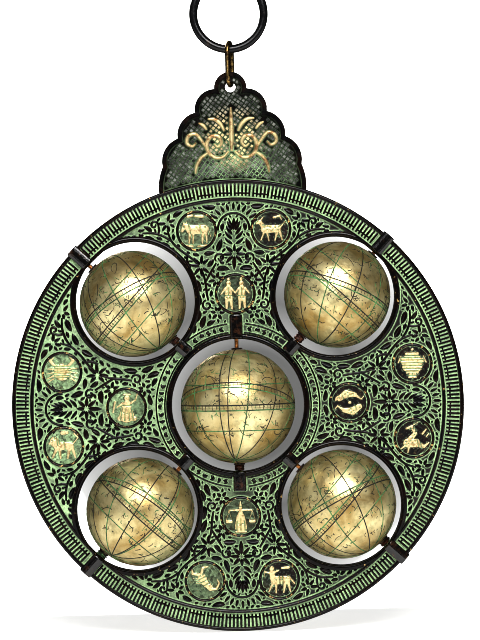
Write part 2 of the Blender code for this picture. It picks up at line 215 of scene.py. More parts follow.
def lathe(piece, centre, axis, profile, steps):
    """A turned solid on an axle. The profile holds radius and place along the axis, outer side upwards."""
    side, other, along = frame_about(axis)
    radius, place = np.array(profile).T
    angles = np.arange(steps) * 2 * math.pi / steps
    ring = np.cos(angles)[:, None] * side + np.sin(angles)[:, None] * other
    points = np.asarray(centre) + ring[:, None] * radius[None, :, None] + along * place[None, :, None]
    piece.add(points, *skin(steps, len(radius), True))


def wire(piece, path, radius, sides):
    """A round wire along a closed path in the row frame."""
    ahead = np.roll(path, -1, 0) - np.roll(path, 1, 0)
    ahead /= np.linalg.norm(ahead, axis=1, keepdims=True)
    normal = np.cross(path[0] - path[len(path) // 3], path[0] - path[2 * len(path) // 3])
    normal = np.broadcast_to(normal / np.linalg.norm(normal), ahead.shape)
    left = np.cross(normal, ahead)
    angles = -np.arange(sides) * 2 * math.pi / sides
    radius = np.broadcast_to(np.asarray(radius, float), len(path))
    offset = np.cos(angles)[None, :, None] * left[:, None] + np.sin(angles)[None, :, None] * normal[:, None]
    piece.add(path[:, None] + offset * radius[:, None, None], *skin(len(path), sides, True))


# Materials


class Finish:
    """A Principled material under construction, with nodes in the object's own metres."""

    def __init__(self, name, **fixed):
        self.material = bpy.data.materials.new(name)
        self.material.use_nodes = True
        self.tree = self.material.node_tree
        self.shader = self.tree.nodes["Principled BSDF"]
        for key, value in fixed.items():
            self.shader.inputs[key.replace("_", " ")].default_value = value
        self.place = self.tree.nodes.new("ShaderNodeTexCoord").outputs["Object"]

    def node(self, kind, output, inputs, **settings):
        made = self.tree.nodes.new(kind)
        for key, value in settings.items():
            setattr(made, key, value)
        for key, value in inputs.items():
            if isinstance(value, bpy.types.NodeSocket):
                self.tree.links.new(value, made.inputs[key])
            else:
                made.inputs[key].default_value = value
        return made.outputs[output]

    def noise(self, size, detail=4.0, roughness=0.6, distortion=0.0):
        """Noise whose blotches are about size millimetres across."""
        inputs = {"Vector": self.place, "Scale": 1 / (size * MM), "Detail": detail}
        inputs.update({"Roughness": roughness, "Distortion": distortion})
        return self.node("ShaderNodeTexNoise", 0, inputs)

    def ramp(self, value, *stops):
        """Colours or numbers at places along a value."""
        made = self.tree.nodes.new("ShaderNodeValToRGB")
        self.tree.links.new(value, made.inputs[0])
        ramp = made.color_ramp
        for index, (place, colour) in enumerate(stops):
            element = ramp.elements[index] if index < 2 else ramp.elements.new(place)
            element.position = place
            element.color = (*colour, 1) if isinstance(colour, tuple) else (colour, colour, colour, 1)
        return made.outputs[0]

    def mix(self, share, first, second):
        made = self.tree.nodes.new("ShaderNodeMix")
        made.data_type = "RGBA"
        for socket, value in zip((made.inputs[0], made.inputs[6], made.inputs[7]), (share, first, second)):
            if isinstance(value, bpy.types.NodeSocket):
                self.tree.links.new(value, socket)
            else:
                socket.default_value = (*value, 1) if isinstance(value, tuple) else value
        return made.outputs[2]

    def times(self, first, second):
        return self.node("ShaderNodeMath", 0, {0: first, 1: second}, operation="MULTIPLY")

    def greater(self, first, second):
        return self.node("ShaderNodeMath", 0, {0: first, 1: second}, operation="MAXIMUM")

    def share(self, value, start, end):
        """Nought where the value is at start, rising to one at end."""
        return self.node("ShaderNodeMapRange", 0, {0: value, 1: start, 2: end})

    def blotches(self, low, high, *noise):
        """Nought to one, where the noise goes from low to high."""
        return self.ramp(self.noise(*noise), (low, 0.0), (high, 1.0))

    def rough(self, glossy, dull, *noise):
        """Sets a roughness that wanders between two values."""
        self.set("Roughness", self.ramp(self.noise(*noise), (0.3, glossy), (0.7, dull)))

    def away(self, point):
        """The distance from a point, in metres."""
        return self.node("ShaderNodeVectorMath", 1, {0: self.place, 1: point}, operation="DISTANCE")

    def height(self):
        """The height above the plate's middle plane, in millimetres."""
        parts = self.node("ShaderNodeSeparateXYZ", 1, {0: self.place})
        return self.times(parts, -1 / MM)

    def left_side(self):
        """One on the left of the plate, falling to nought on the right; it lets more green spread over the
        left.
        """
        across = self.node("ShaderNodeSeparateXYZ", "X", {0: self.place})
        return self.share(across, 0.03, -0.11)

    def between(self, value, low, high):
        """One where the value lies between low and high, else nought."""
        blur = 0.05
        rise = self.share(value, low - blur, low + blur)
        fall = self.share(value, high + blur, high - blur)
        return self.times(rise, fall)

    def crevice(self, distance, open_share, closed_share):
        """One in the crevices, where less than closed_share of the sky is seen, and nought on open ground."""
        seen = self.node("ShaderNodeAmbientOcclusion", "AO", {"Distance": distance * MM}, samples=12)
        return self.share(seen, open_share, closed_share)

    def bump(self, value, strength, distance):
        inputs = {"Height": value, "Strength": strength, "Distance": distance * MM}
        if self.shader.inputs["Normal"].is_linked:
            inputs["Normal"] = self.shader.inputs["Normal"].links[0].from_socket
        self.set("Normal", self.node("ShaderNodeBump", 0, inputs))

    def set(self, name, value):
        self.tree.links.new(value, self.shader.inputs[name])


BLACK = (0.0025, 0.0024, 0.0024)
GREEN = (0.60, 0.82, 0.46)
DEEP_GREEN = (0.14, 0.25, 0.125)
DARK_GREEN = (0.025, 0.07, 0.035)
UMBER = (0.016, 0.0065, 0.0042)
BRASS = (0.62, 0.42, 0.17)
PALE_GOLD = (0.80, 0.64, 0.34)


def verdigris(made):
    """Bright green with darker and paler blotches, as it stays in the low ground."""
    broad = made.blotches(0.35, 0.7, 14)
    fine = made.blotches(0.38, 0.68, 1.6, 6)
    base = made.mix(made.times(broad, 0.6), GREEN, DEEP_GREEN)
    return made.mix(made.times(fine, 0.5), base, DARK_GREEN)


def patina(made, brown, worn=0.0):
    """Black patina with brown blotches and, where worn, brass showing through."""
    blotch = made.blotches(0.42, 0.62, 9, 5)
    colour = made.mix(made.times(blotch, brown), BLACK, UMBER)
    if worn:
        scuff = made.blotches(0.70 - worn, 0.76 - worn, 3.2, 8, 0.7)
        colour = made.mix(scuff, colour, BRASS)
    return colour


def cast_surface(made, coarse, fine):
    """The grain of a casting: two sizes of bump, in millimetres."""
    made.bump(made.noise(2.4, 5), 1.0, coarse)
    made.bump(made.noise(0.5, 3), 1.0, fine)


def aged_back(made, front, level=BACK + 0.15):
    """The plain back: dull bronze with brown and green clouds and hammered-out blotches."""
    back = made.between(made.height(), -20.0, level)
    cloudy = made.mix(made.blotches(0.4, 0.6, 28, 6, 0.6), (0.24, 0.165, 0.08), (0.09, 0.065, 0.04))
    green = made.ramp(made.noise(11, 7, 0.65), (0.52, 0.0), (0.68, 0.8))
    return made.mix(back, front, made.mix(green, cloudy, (0.20, 0.38, 0.21)))


def ground_finish():
    made = Finish("verdigris_ground", Metallic=0.0, IOR=1.5)
    flat = made.between(made.height(), 3.3, 3.78)
    clouds = made.ramp(made.noise(12, 4), (0.36, 0.25), (0.6, 1.0))
    spread = made.times(made.left_side(), clouds)
    dusty = made.times(flat, made.greater(spread, made.crevice(1.35, 0.97, 0.76)))
    made.set("Base Color", aged_back(made, made.mix(dusty, patina(made, 0.6), verdigris(made))))
    made.set("Roughness", made.ramp(dusty, (0, 0.3), (1, 0.8)))
    cast_surface(made, 0.25, 0.08)
    return made.material


def relief_finish(name, brown, worn):
    """Black glossy relief with verdigris dust round its foot."""
    dust = 3.55
    made = Finish(name, Metallic=0.0, IOR=1.5, Specular_IOR_Level=0.2)
    low = made.share(made.height(), dust + 0.35, dust - 0.25)
    dusty = made.times(low, made.crevice(1.5, 0.9, 0.7))
    made.set("Base Color", made.mix(dusty, patina(made, brown, worn), verdigris(made)))
    made.rough(0.08, 0.20, 4, 6)
    cast_surface(made, 0.10, 0.01)
    return made.material


def figure_finish():
    made = Finish("medallion_figures", Metallic=0.55)
    height = made.height()
    raised = made.share(height, 4.1, 4.45)
    worn = made.blotches(0.34, 0.50, 2.0, 7)
    green = made.times(made.left_side(), made.ramp(made.noise(3.4, 4), (0.38, 0.15), (0.58, 0.8)))
    green = made.greater(made.crevice(0.9, 0.92, 0.6), green)
    low = made.mix(green, patina(made, 1.0), verdigris(made))
    low = made.mix(made.ramp(made.noise(3.1, 6), (0.60, 0.0), (0.70, 0.5)), low, (0.20, 0.15, 0.065))
    gold = made.mix(worn, (0.36, 0.24, 0.10), (0.72, 0.60, 0.34))
    made.set("Base Color", made.mix(raised, low, gold))
    made.rough(0.3, 0.5, 1.5, 4)
    cast_surface(made, 0.12, 0.05)
    return made.material


def gold_finish():
    made = Finish("flourish_gold", Metallic=0.6)
    worn = made.blotches(0.38, 0.52, 5.0, 6)
    made.set("Base Color", made.mix(worn, (0.26, 0.14, 0.055), (0.60, 0.49, 0.27)))
    made.rough(0.28, 0.5, 2, 4)
    cast_surface(made, 0.15, 0.05)
    return made.material


def throne_finish():
    made = Finish("throne_patina", Metallic=0.0, IOR=1.5, Specular_IOR_Level=0.2)
    field = made.between(made.height(), 2.3, 2.7)
    away = made.away((0.0, -0.003, (DISC_Z + 172) * MM))
    low = made.node("ShaderNodeMapRange", 0, {0: away, 1: 0.060, 2: 0.026, 3: 0.06, 4: 0.9})
    dusty = made.times(low, made.ramp(made.noise(16, 3), (0.36, 0.35), (0.6, 1.0)))
    green = made.mix(made.times(dusty, made.crevice(1.3, 0.95, 0.72)), patina(made, 0.2), verdigris(made))
    made.set("Base Color", aged_back(made, made.mix(field, patina(made, 0.75), green), -2.0))
    made.rough(0.12, 0.28, 5, 5)
    cast_surface(made, 0.14, 0.02)
    return made.material


def stud_finish():
    """Black studs whose tops are worn to pale gold round the middle of the throne, and elsewhere carry a
    painted pale grey sheen in patches.
    """
    made = Finish("throne_studs", Metallic=0.15, IOR=1.5)
    away = made.away((0.002, -0.003, (DISC_Z + 213) * MM))
    near = made.share(away, 0.028, 0.011)
    patchy = made.blotches(0.34, 0.5, 11, 3)
    tops = made.share(made.height(), 3.2, 3.32)
    gold = made.times(made.times(near, patchy), tops)
    low = made.share(made.height(), 3.0, 2.6)
    # Painted sheen: pale grey laid in patches over the stud tops, in place of the glints that light gives
    # them.
    painted_sheen = made.times(tops, made.ramp(made.noise(5, 6), (0.42, 0.1), (0.6, 1.0)))
    sides = made.mix(made.times(low, 0.4), patina(made, 0.3), DEEP_GREEN)
    dark = made.mix(painted_sheen, sides, (0.24, 0.245, 0.22))
    made.set("Base Color", made.mix(gold, dark, PALE_GOLD))
    made.rough(0.2, 0.42, 3, 5)
    cast_surface(made, 0.2, 0.05)
    return made.material


def globe_finish(name, seed):
    made = Finish(name, Metallic=0.75)
    shift = (seed * 0.37, seed * 0.11, 0)
    made.place = made.node("ShaderNodeVectorMath", 0, {0: made.place, 1: shift}, operation="ADD")
    patches = made.blotches(0.36, 0.66, 26, 4, 0.55, 0.6)
    bright = made.mix(patches, (0.72, 0.64, 0.37), (0.37, 0.26, 0.095))
    olive = made.blotches(0.5, 0.72, 9, 7, 0.65)
    colour = made.mix(made.times(olive, 0.68), bright, (0.17, 0.15, 0.065))
    specks = made.blotches(0.63, 0.72, 1.3, 5, 0.7)
    colour = made.mix(made.times(specks, 0.55), colour, (0.12, 0.14, 0.06))
    made.set("Base Color", colour)
    made.rough(0.33, 0.48, 7, 6)
    made.bump(made.noise(8, 4), 1.0, 0.36)
    made.bump(made.noise(0.9, 4), 1.0, 0.06)
    return made.material


def engraving_finish(name, colour, other):
    made = Finish(name, Metallic=0.0, Roughness=0.7)
    made.set("Base Color", made.mix(made.blotches(0.4, 0.6, 6, 4), colour, other))
    made.bump(made.noise(0.6, 3), 1.0, 0.05)
    return made.material


def metal_finish(name, base, stain, share, roughness, metallic, bump, size):
    """A worn metal: the base with stains over a share of it."""
    made = Finish(name, Metallic=metallic, IOR=1.6)
    stained = made.blotches(0.62 - share * 0.4, 0.78 - share * 0.4, size, 7, 0.65)
    made.set("Base Color", made.mix(stained, base, stain))
    made.rough(*roughness, size * 0.6, 5)
    cast_surface(made, bump, bump * 0.3)
    return made.material


# What stands on the plate


def node_points(name):
    """A CAD node's points in the plate's plane: x, y and h."""
    points = np.array([v.co for v in frame["nodes"][name].data.vertices]) / MM
    return np.stack([points[:, 0], points[:, 2] - DISC_Z, -points[:, 1]], 1)


class Footprint:
    """The ground that a saddle covers, as a box along its axle."""

    def __init__(self, name, direction):
        margin = 0.5
        along = np.array([direction[0], direction[2]]) / math.hypot(direction[0], direction[2])
        self.turn = np.array([along, [-along[1], along[0]]])
        flat = node_points(name)[:, :2] @ self.turn.T
        self.low, self.high = flat.min(0) - margin, flat.max(0) + margin

    def covers(self, flat):
        local = np.asarray(flat).reshape(-1, 2) @ self.turn.T
        return bool(((local > self.low) & (local < self.high)).all(1).any())


AXLES = {}
for joint in frame["joints"]:
    if joint["name"].endswith("_spin"):
        turned_site = joint["name"][: -len("_spin")]
        AXLES[turned_site] = (np.array(joint["pos_m"]) / MM, np.array(joint["axis"], float))
SADDLES = [Footprint(f"saddle_{site}_{end}", AXLES[site][1]) for site in GLOBES for end in ("hub", "rim")]


def under_saddle(flat):
    return any(saddle.covers(flat) for saddle in SADDLES)


def medallion_places():
    sides = (-OUTER_TURN, OUTER_TURN)
    places = [polar(OUTER_CIRCLE, angle + side) for angle in CARDINALS for side in sides]
    return places + [polar(INNER_CIRCLE, angle) for angle in CARDINALS]


def opening_places():
    return [(polar(radius, angle), size) for radius, angle, size in OPENINGS.values()]


def blocked(line):
    """Whether a leaf would reach a saddle, an opening's moulding or the scale."""
    line = np.asarray(line)
    for centre, size in opening_places():
        if np.linalg.norm(line - centre, axis=1).min() < size + 1.4:
            return True
    return np.linalg.norm(line, axis=1).max() > LIMB[0] - 0.3 or under_saddle(line)


def build_mouldings():
    """The rim, the ring inside the scale, and the openings' mouldings, down through their walls."""
    piece = Piece("mouldings")
    rim = [(179.7, -3.6), (180.3, -3.2), (180.5, -2.0), (180.5, 3.6), (180.3, 4.6), (179.6, 5.3)]
    rim += [(178.8, 5.5), (178.0, 5.2), (177.4, 4.4), (177.2, 3.3), (177.6, 3.0), (177.6, -3.6)]
    turned(piece, (0, 0), rim, 288)
    low, high = LIMB
    middle = (low + high) / 2
    limb = [(high + 0.1, 3.2), (high - 0.1, 4.4), (high - 0.7, 5.1), (middle, 5.35)]
    limb += [(low + 0.7, 5.1), (low + 0.1, 4.4), (low - 0.1, 3.2)]
    turned(piece, (0, 0), limb, 256)
    for centre, size in opening_places():
        outline = [(4.5, 3.3), (4.2, 4.4), (3.4, 5.2), (2.4, 5.6), (1.2, 5.6), (0.3, 5.1), (-0.12, 4.2)]
        outline += [(-0.15, -3.2), (0.1, -3.7), (1.2, -3.9), (2.2, -3.45), (1.0, -3.2), (1.0, 3.0)]
        turned(piece, centre, [(size + across, height) for across, height in outline], 160, 164.5)
    return piece


def build_medallion_rims():
    piece = Piece("medallion_rims")
    outline = [(16.55, 3.3), (16.4, 4.3), (15.9, 4.95), (15.3, 5.15), (14.7, 4.9), (14.3, 4.3), (14.1, 3.5)]
    for place in medallion_places():
        turned(piece, place, outline, 80)
    return piece


def build_scale(random):
    """The scale of 360 bars, joined in fives near their inner ends."""
    piece = Piece("scale_bars")
    for step in range(360):
        angle = step + 0.5
        jitter = random.uniform(-1, 1, 4)
        outer, inner = 177.1 + 0.15 * jitter[0], 167.0 + 0.2 * jitter[1]
        angle += 0.03 * jitter[2]
        line = [polar(radius, angle) for radius in (inner, inner + 0.7, 172.0, outer - 0.7, outer)]
        if under_saddle(line):
            continue
        half = np.array([0.7, 0.9, 0.96, 1.0, 0.8]) + 0.06 * jitter[3]
        ridge(piece, line, half, np.array([0.4, 0.62, 0.66, 0.62, 0.4]), BAR)
        if step % 5 != 4:
            joint = [polar(169.6 + 0.25 * jitter[0], angle + turn) for turn in (0.1, 0.35, 0.65, 0.9)]
            if not under_saddle(joint):
                ridge(piece, joint, 0.75, 0.55, BAR)
    return piece


# The leafwork is drawn in one eighth of the plate, u outwards along an arm and v to its side,
# and repeated on both sides of each arm.
AXIS_LEAVES = [  # u, v, direction, length, half width, bend
    (122.4, 0, 0, 6.6, 1.6, 0), (119.8, 0, 180, 12.2, 2.0, 0), (139.6, 0, 0, 10.8, 1.8, 0),
    (155.8, 0, 0, 6.8, 1.5, 0),
]
SIDE_LEAVES = [
    (122.0, 1.1, 46, 8.0, 1.75, 0), (121.0, 1.4, 92, 8.0, 1.7, 0), (119.9, 1.1, 138, 8.8, 1.75, 0),
    (128.6, 0.9, 66, 9.2, 1.6, -26), (132.4, 0.9, 57, 9.8, 1.6, -24), (136.0, 0.9, 47, 9.6, 1.55, -20),
    (139.4, 0.9, 36, 9.0, 1.45, -16), (142.6, 1.2, 24, 7.8, 1.15, -8),
]
FANS = [  # centre, first and last direction, leaves, length
    (111.8, 26.4, -40, 220, 7, 9.2), (146.5, 52.8, -60, 190, 6, 7.4), (74.2, 14.5, 20, 330, 6, 5.4),
    (138.5, 77.5, 20, 250, 5, 6.0), (100.5, 14.5, -60, 200, 6, 6.2),
]
STEMS = [
    [(84, 21.5), (89, 22.6), (95, 23.2), (102, 24.2), (108, 26)],
    [(99, 23.4), (104, 20.6), (109, 17.6), (114, 14.6)],
    [(113, 29), (118.5, 34.6), (125, 43), (132, 49.8), (141, 53)],
    [(132, 49.8), (136.4, 56.5), (138.8, 64), (139, 73)],
    [(121, 37.4), (116, 37.6), (110.6, 35.2)],
    [(137.6, 60.6), (141, 59.6), (145.5, 60.2)],
]
SCROLLS = [  # centre, first angle, turns, outer and inner radius
    (118.0, 11.6, 130, -1.1, 4.2, 1.2), (80.4, 22.6, 10, 1.1, 4.2, 1.2), (145.4, 63.4, -90, 1.1, 3.3, 0.9),
]
ARCH = (141.0, 12.5)  # the band that arches over the palm leaf: its centre along the arm and its radius


LEAF_STEPS = 7


def leaf_line(u, v, direction, length, bend):
    t = np.linspace(0, 1, LEAF_STEPS)
    angle = np.radians(direction + bend * t)
    steps = np.stack([np.cos(angle), np.sin(angle)], 1) * length / (LEAF_STEPS - 1)
    line = np.cumsum(steps, 0)
    return np.array([u, v]) + line - line[0]


def leaf_shares():
    """Half width and rise of a leaf along its length, as shares."""
    t = np.linspace(0, 1, LEAF_STEPS)
    swell = np.sin(math.pi * t**0.8)
    return np.maximum(swell, 0) ** 0.6 * 0.96 + 0.04, 0.35 + 0.65 * np.maximum(swell, 0) ** 0.5


class Clearing:
    """Which cells of the eighth are taken, for filling the ground between the drawn leaves."""

    CELL = 0.4
    LOW, SIZE = (50.0, 0.0), (290, 290)
    OPENING, MEDALLION = 50.4, 17.1  # radii kept free of leaves
    KEPT_FREE = (
        ((82.2, 82.2), OPENING),
        ((INNER_CIRCLE, 0.0), MEDALLION),
        (tuple(polar(OUTER_CIRCLE, OUTER_TURN)), MEDALLION),
    )

    def __init__(self):
        sides = [low + self.CELL * (np.arange(size) + 0.5) for low, size in zip(self.LOW, self.SIZE)]
        u, v = np.meshgrid(*sides, indexing="ij")
        self.cells = np.stack([u, v], -1)
        far = np.linalg.norm(self.cells, axis=-1)
        self.taken = (far < HUB_OUTER + 0.7) | (far > LIMB[0] - 0.5) | (v < 0.35) | (v > u)
        for place, size in self.KEPT_FREE:
            self.taken |= np.linalg.norm(self.cells - place, axis=-1) < size

    def mark(self, line, half, gap=0.1):
        line, half = np.asarray(line, float), np.broadcast_to(half, len(line))
        for start, end, width in zip(line[:-1], line[1:], (half[:-1] + half[1:]) / 2):
            reach = width + gap + 0.3
            low = np.floor((np.minimum(start, end) - reach - self.LOW) / self.CELL).astype(int)
            high = np.ceil((np.maximum(start, end) + reach - self.LOW) / self.CELL).astype(int) + 1
            window = tuple(slice(max(a, 0), max(b, 0)) for a, b in zip(low, high))
            offset = self.cells[window] - start
            run = end - start
            share = np.clip(offset @ run / max(run @ run, 1e-9), 0, 1)
            away = np.linalg.norm(offset - share[..., None] * run, axis=-1)
            self.taken[window] |= away < width + gap

    def free(self, points):
        index = np.floor((points - self.LOW) / self.CELL).astype(int)
        inside = ((index >= 0) & (index < self.SIZE)).all(-1)
        index = np.clip(index, 0, np.array(self.SIZE) - 1)
        return (inside & ~self.taken[index[..., 0], index[..., 1]]).all(-1)


VINE_LEAVES = ((9.8, 2.3), (8.4, 2.1), (6.8, 1.85), (5.4, 1.55), (4.1, 1.25))  # length, half width
FILL_LEAVES = (
    (11.4, 2.6), (9.6, 2.3), (8.4, 2.15), (7.2, 1.95), (5.9, 1.7), (4.7, 1.45), (3.7, 1.2), (2.7, 0.95),
)


def vine_leaves(clearing, stems, width_share):
    """Leaves along each stem, turn by turn to its left and right, as long as there is room for."""
    found = []
    for line in stems:
        ahead = np.gradient(line, axis=0)
        for index in range(1, len(line) - 1, 2):
            direction = math.degrees(math.atan2(ahead[index, 1], ahead[index, 0]))
            for side in (1, -1):
                turn = direction + side * 48
                start = line[index] + polar(1.1, turn)
                for length, half in VINE_LEAVES:
                    shape = leaf_line(*start, turn, length, -side * 34)
                    tips = np.gradient(shape, axis=0)
                    tips /= np.linalg.norm(tips, axis=1, keepdims=True)
                    left = np.stack([-tips[:, 1], tips[:, 0]], 1) * (width_share * half)[:, None]
                    if clearing.free(np.concatenate([shape, shape + left, shape - left])[1:]):
                        clearing.mark(shape, width_share * half)
                        found.append((*start, turn, length, half, -side * 34))
                        break
    return found


def drawn_leaves():
    leaves = list(SIDE_LEAVES)
    for u, v, first, last, count, length in FANS:
        for i in range(count):
            share = i / (count - 1)
            direction = first + (last - first) * share
            long = length * (1 - 0.22 * abs(2 * share - 1))
            start = np.array([u, v]) + polar(1.3, direction)
            leaves.append((*start, direction, long, 1.62, 12 if share > 0.5 else -12))
    for turn, length in ((15, 6.4), (29, 6.8), (43, 7.4), (57, 7.8), (70, 6.4)):
        start = np.array([ARCH[0], 0]) + polar(ARCH[1] + 2.0, turn)
        leaves.append((*start, turn, length, 1.5, 0))
    return leaves


def fill_clearing(clearing, random):
    """Small leaves, largest first, wherever they still fit."""
    found = []
    width_share, _ = leaf_shares()
    for length, half in FILL_LEAVES:
        for _ in range(9):
            free = clearing.cells[~clearing.taken]
            picks = free[random.integers(0, len(free), 1100)]
            u, v = picks.T
            flow = 110 * np.sin(u / 12 + 1.3) + 80 * np.sin(v / 10 + u / 19)
            directions = flow + random.uniform(-40, 40, len(picks)) + 180 * random.integers(0, 2, len(picks))
            bends = random.uniform(-50, 50, len(picks))
            drawn = zip(picks, directions, bends)
            lines = np.stack([leaf_line(*pick, turn, length, bend) for pick, turn, bend in drawn])
            ahead = np.gradient(lines, axis=1)
            ahead /= np.linalg.norm(ahead, axis=2, keepdims=True)
            left = np.stack([-ahead[..., 1], ahead[..., 0]], -1) * (width_share * half)[None, :, None]
            samples = np.concatenate([lines, lines + left, lines - left], 1)
            for row in np.flatnonzero(clearing.free(samples)):
                if clearing.free(samples[row]):
                    clearing.mark(lines[row], width_share * half)
                    found.append((*picks[row], directions[row], length, half, bends[row]))
    return found


def arch_line(first, last, count):
    middle, radius = ARCH
    return np.array([middle, 0]) + np.stack([polar(radius, turn) for turn in np.linspace(first, last, count)])


def build_foliage(random):
    clearing = Clearing()
    width_share, rise_share = leaf_shares()
    leaves = drawn_leaves()
    stems = [smooth_path(stem, STEM_STEPS) for stem in STEMS]
    scrolls = [spiral((u, v), first, turns, outer, inner) for u, v, first, turns, outer, inner in SCROLLS]
    for u, v, direction, length, half, bend in leaves + AXIS_LEAVES:
        clearing.mark(leaf_line(u, v, direction, length, bend), width_share * half)
    for line in stems + scrolls:
        clearing.mark(line, 0.75, 0.0)
    arch = arch_line(0, 96, 24)
    clearing.mark(arch, 1.0)
    leaves += vine_leaves(clearing, stems + [arch], width_share)
    leaves += fill_clearing(clearing, random)

    piece = Piece("leafwork")
    for quarter in CARDINALS:
        along, aside = polar(1, quarter), polar(1, quarter + 90)
        for side in (1, -1):
            place = np.array([along, side * aside])
            for u, v, direction, length, half, bend in leaves + (AXIS_LEAVES if side > 0 else []):
                wobble = random.uniform(-1, 1, 4)
                turn, long = direction + 2.5 * wobble[0], length * (1 + 0.03 * wobble[1])
                line = leaf_line(u, v, turn, long, bend) @ place
                if blocked(line):
                    continue
                half_width = width_share * half * (1 + 0.06 * wobble[2])
                ridge(piece, line, half_width, rise_share * (1.0 + 0.12 * wobble[3]), LEAF)
            for line in stems + scrolls:
                taper = 0.75 + 0.45 * np.sin(np.linspace(0.3, math.pi - 0.1, len(line)))
                ridge(piece, line @ place, taper, 1.05, ROUND)
            if side > 0:
                ridge(piece, arch_line(-96, 96, 48) @ place, 1.05, 1.5, ROUND)
    return piece


HUB_STROKES = (  # the points of each small stroke, and its half width
    ([(59.7, -0.5), (62.0, 0.6), (64.2, -0.5)], 1.5),
    ([(59.9, 1.8), (61.2, -1.2), (62.6, 1.2), (63.9, -1.7)], 1.35),
    ([(61.0, -2.1), (62.6, 0), (61.0, 2.1)], 1.75),
    ([(59.9, -1.5), (61.8, 1.4), (63.9, -1.3)], 1.5),
)


def build_hub_band(random):
    """Two fine lines round the middle opening, and small strokes between them."""
    piece = Piece("hub_band")
    for radius, half in ((58.4, 0.7), (65.3, 0.75)):
        steps = 360
        run = []
        for step in range(2 * steps + 1):
            point = polar(radius, step % steps * 360 / steps)
            if under_saddle(point) or (run and step == 2 * steps):
                if len(run) > 4:
                    ridge(piece, run, half, 1.2, ROUND)
                run = []
                if step > steps:
                    break
            elif run or step:
                run.append(point)
    width_share, rise_share = leaf_shares()
    count = 68
    for step in range(count):
        angle = step * 360 / count
        points, half = HUB_STROKES[step % 4]
        line = smooth_path(points, LEAF_STEPS)
        along, aside = polar(1, angle), polar(1, angle + 90)
        line = line @ np.array([along, aside])
        if not under_saddle(line):
            ridge(piece, line, width_share * half, rise_share * 1.3 * random.uniform(0.85, 1.1), ROUND)
    return piece


# The pictures in the medallions are generic beasts and signs, as limbs (x, y, radius to x, y, radius),
# carved lines (x, y to x, y) and dots (x, y), in millimetres from the medallion's middle.
BULL = dict(
    limbs=[(-4, 1, 3.6, 5, 1.2, 3.5), (-5, 2.2, 2.6, -8, 3.6, 2.2), (-8.4, 3.4, 1.9, -10.2, 0.2, 1.2),
        (-8.6, 5.2, 0.6, -10.6, 7.6, 0.3), (-7.2, 5.4, 0.6, -6.2, 7.8, 0.3), (-4.6, -1, 1.3, -5.4, -8.6, 0.8),
        (-2.4, -1, 1.2, -2.6, -8.8, 0.7), (4.4, -1, 1.5, 4.0, -8.6, 0.8), (6.6, 0, 1.4, 7.2, -8.2, 0.7),
        (8.2, 2.6, 0.6, 10, -4.2, 0.5), (-6, 10.4, 1.3, -3, 11, 1.1), (-0.6, 10.4, 1.1, 4.6, 10.2, 1.3),
        (-8, -10.4, 0.9, -3, -10.8, 1.0), (1, -11, 0.9, 7, -10.2, 0.9)],
    lines=[(-5.4, 4.6, -4.2, -2), (2, 4.4, 3.4, -1.6), (-9.4, 2.8, -8.6, 2.2)],
    dots=[(-9, 3.4), (0, 2), (6, 2.6)])
GOAT = dict(
    limbs=[(-4.4, 0, 3.0, 4.6, 0.4, 2.9), (-5, 1.4, 2.0, -7.6, 5, 1.6), (-7.6, 5.4, 1.7, -10.2, 4.2, 0.9),
        (-7, 6.8, 0.6, -4.6, 9.4, 0.4), (-4.6, -1, 1.1, -7.2, -7.6, 0.7), (-2.8, -2, 1.1, -1.6, -8, 0.7),
        (4.4, -1.4, 1.4, 2.6, -8, 0.7), (6, -1, 1.3, 7.8, -7.8, 0.7), (7.2, 2, 0.8, 10.2, 5.4, 0.5),
        (2, 8.2, 1.0, 6.4, 9.4, 1.0), (6.4, 9.4, 1.0, 7.6, 6.6, 0.6)],
    lines=[(-6, 3.4, -4.4, 2.4)],
    dots=[(-4.6, 1.2), (-2.6, -0.4), (-0.8, 1.4), (1, -0.8), (2.8, 1.2), (4.8, -0.6), (5.6, 1.6), (-5.8, 3),
        (-2.4, 1.9)])
PAIR = dict(
    limbs=[(x, 7.4, 1.9, x, 7.5, 1.9) for x in (-4.6, 4.4)] + [(x, 4.4, 2.2, x, -2.2, 3.2) for x in
        (-4.8, 4.6)] + [(-6, -3, 1.6, -6.4, -10, 1.1), (-3.2, -3, 1.5, -2.6, -10.4, 1.0),
        (3.2, -3, 1.5, 2.8, -10.4, 1.0), (6.2, -3, 1.6, 6.6, -9.8, 1.1), (-2.8, 4, 1.0, 0, 0.6, 0.8),
        (2.6, 4, 1.0, 0, 0.6, 0.8), (-7, 4, 1.1, -10, 0, 0.8), (7, 4, 1.1, 9.8, 0.4, 0.8),
        (-4.6, 10.4, 1.4, -4.6, 10.6, 1.2), (4.4, 10.4, 1.4, 4.4, 10.6, 1.2)],
    lines=[(-7.6, -1.2, -2.2, -1.2), (2, -1.2, 7.4, -1.2), (-4.8, 4.6, -4.8, -1), (4.6, 4.6, 4.6, -1)],
    dots=[(-6, -2.6), (-4, -2.8), (3.6, -2.6), (5.6, -2.8)])
CRAB = dict(
    limbs=[(0, 0, 6.2, 0, 0.2, 6.2), (-4.6, 4.2, 1.2, -8.2, 8.2, 1.4), (4.6, 4.2, 1.2, 8.2, 8.2, 1.4),
        (-8.2, 8.2, 1.0, -5.4, 10.4, 0.5), (8.2, 8.2, 1.0, 5.4, 10.4, 0.5)] +
        [(s * 5.2, y, 0.9, s * 10.8, 1.6 * y - 1, 0.5) for s in (-1, 1) for y in (2.2, 0, -2.2, -4)],
    lines=[(-5.6, y, 5.6, y) for y in (-4, -2.4, -0.8, 0.8, 2.4, 4)],
    dots=[(-2, 5.4), (2, 5.4)])
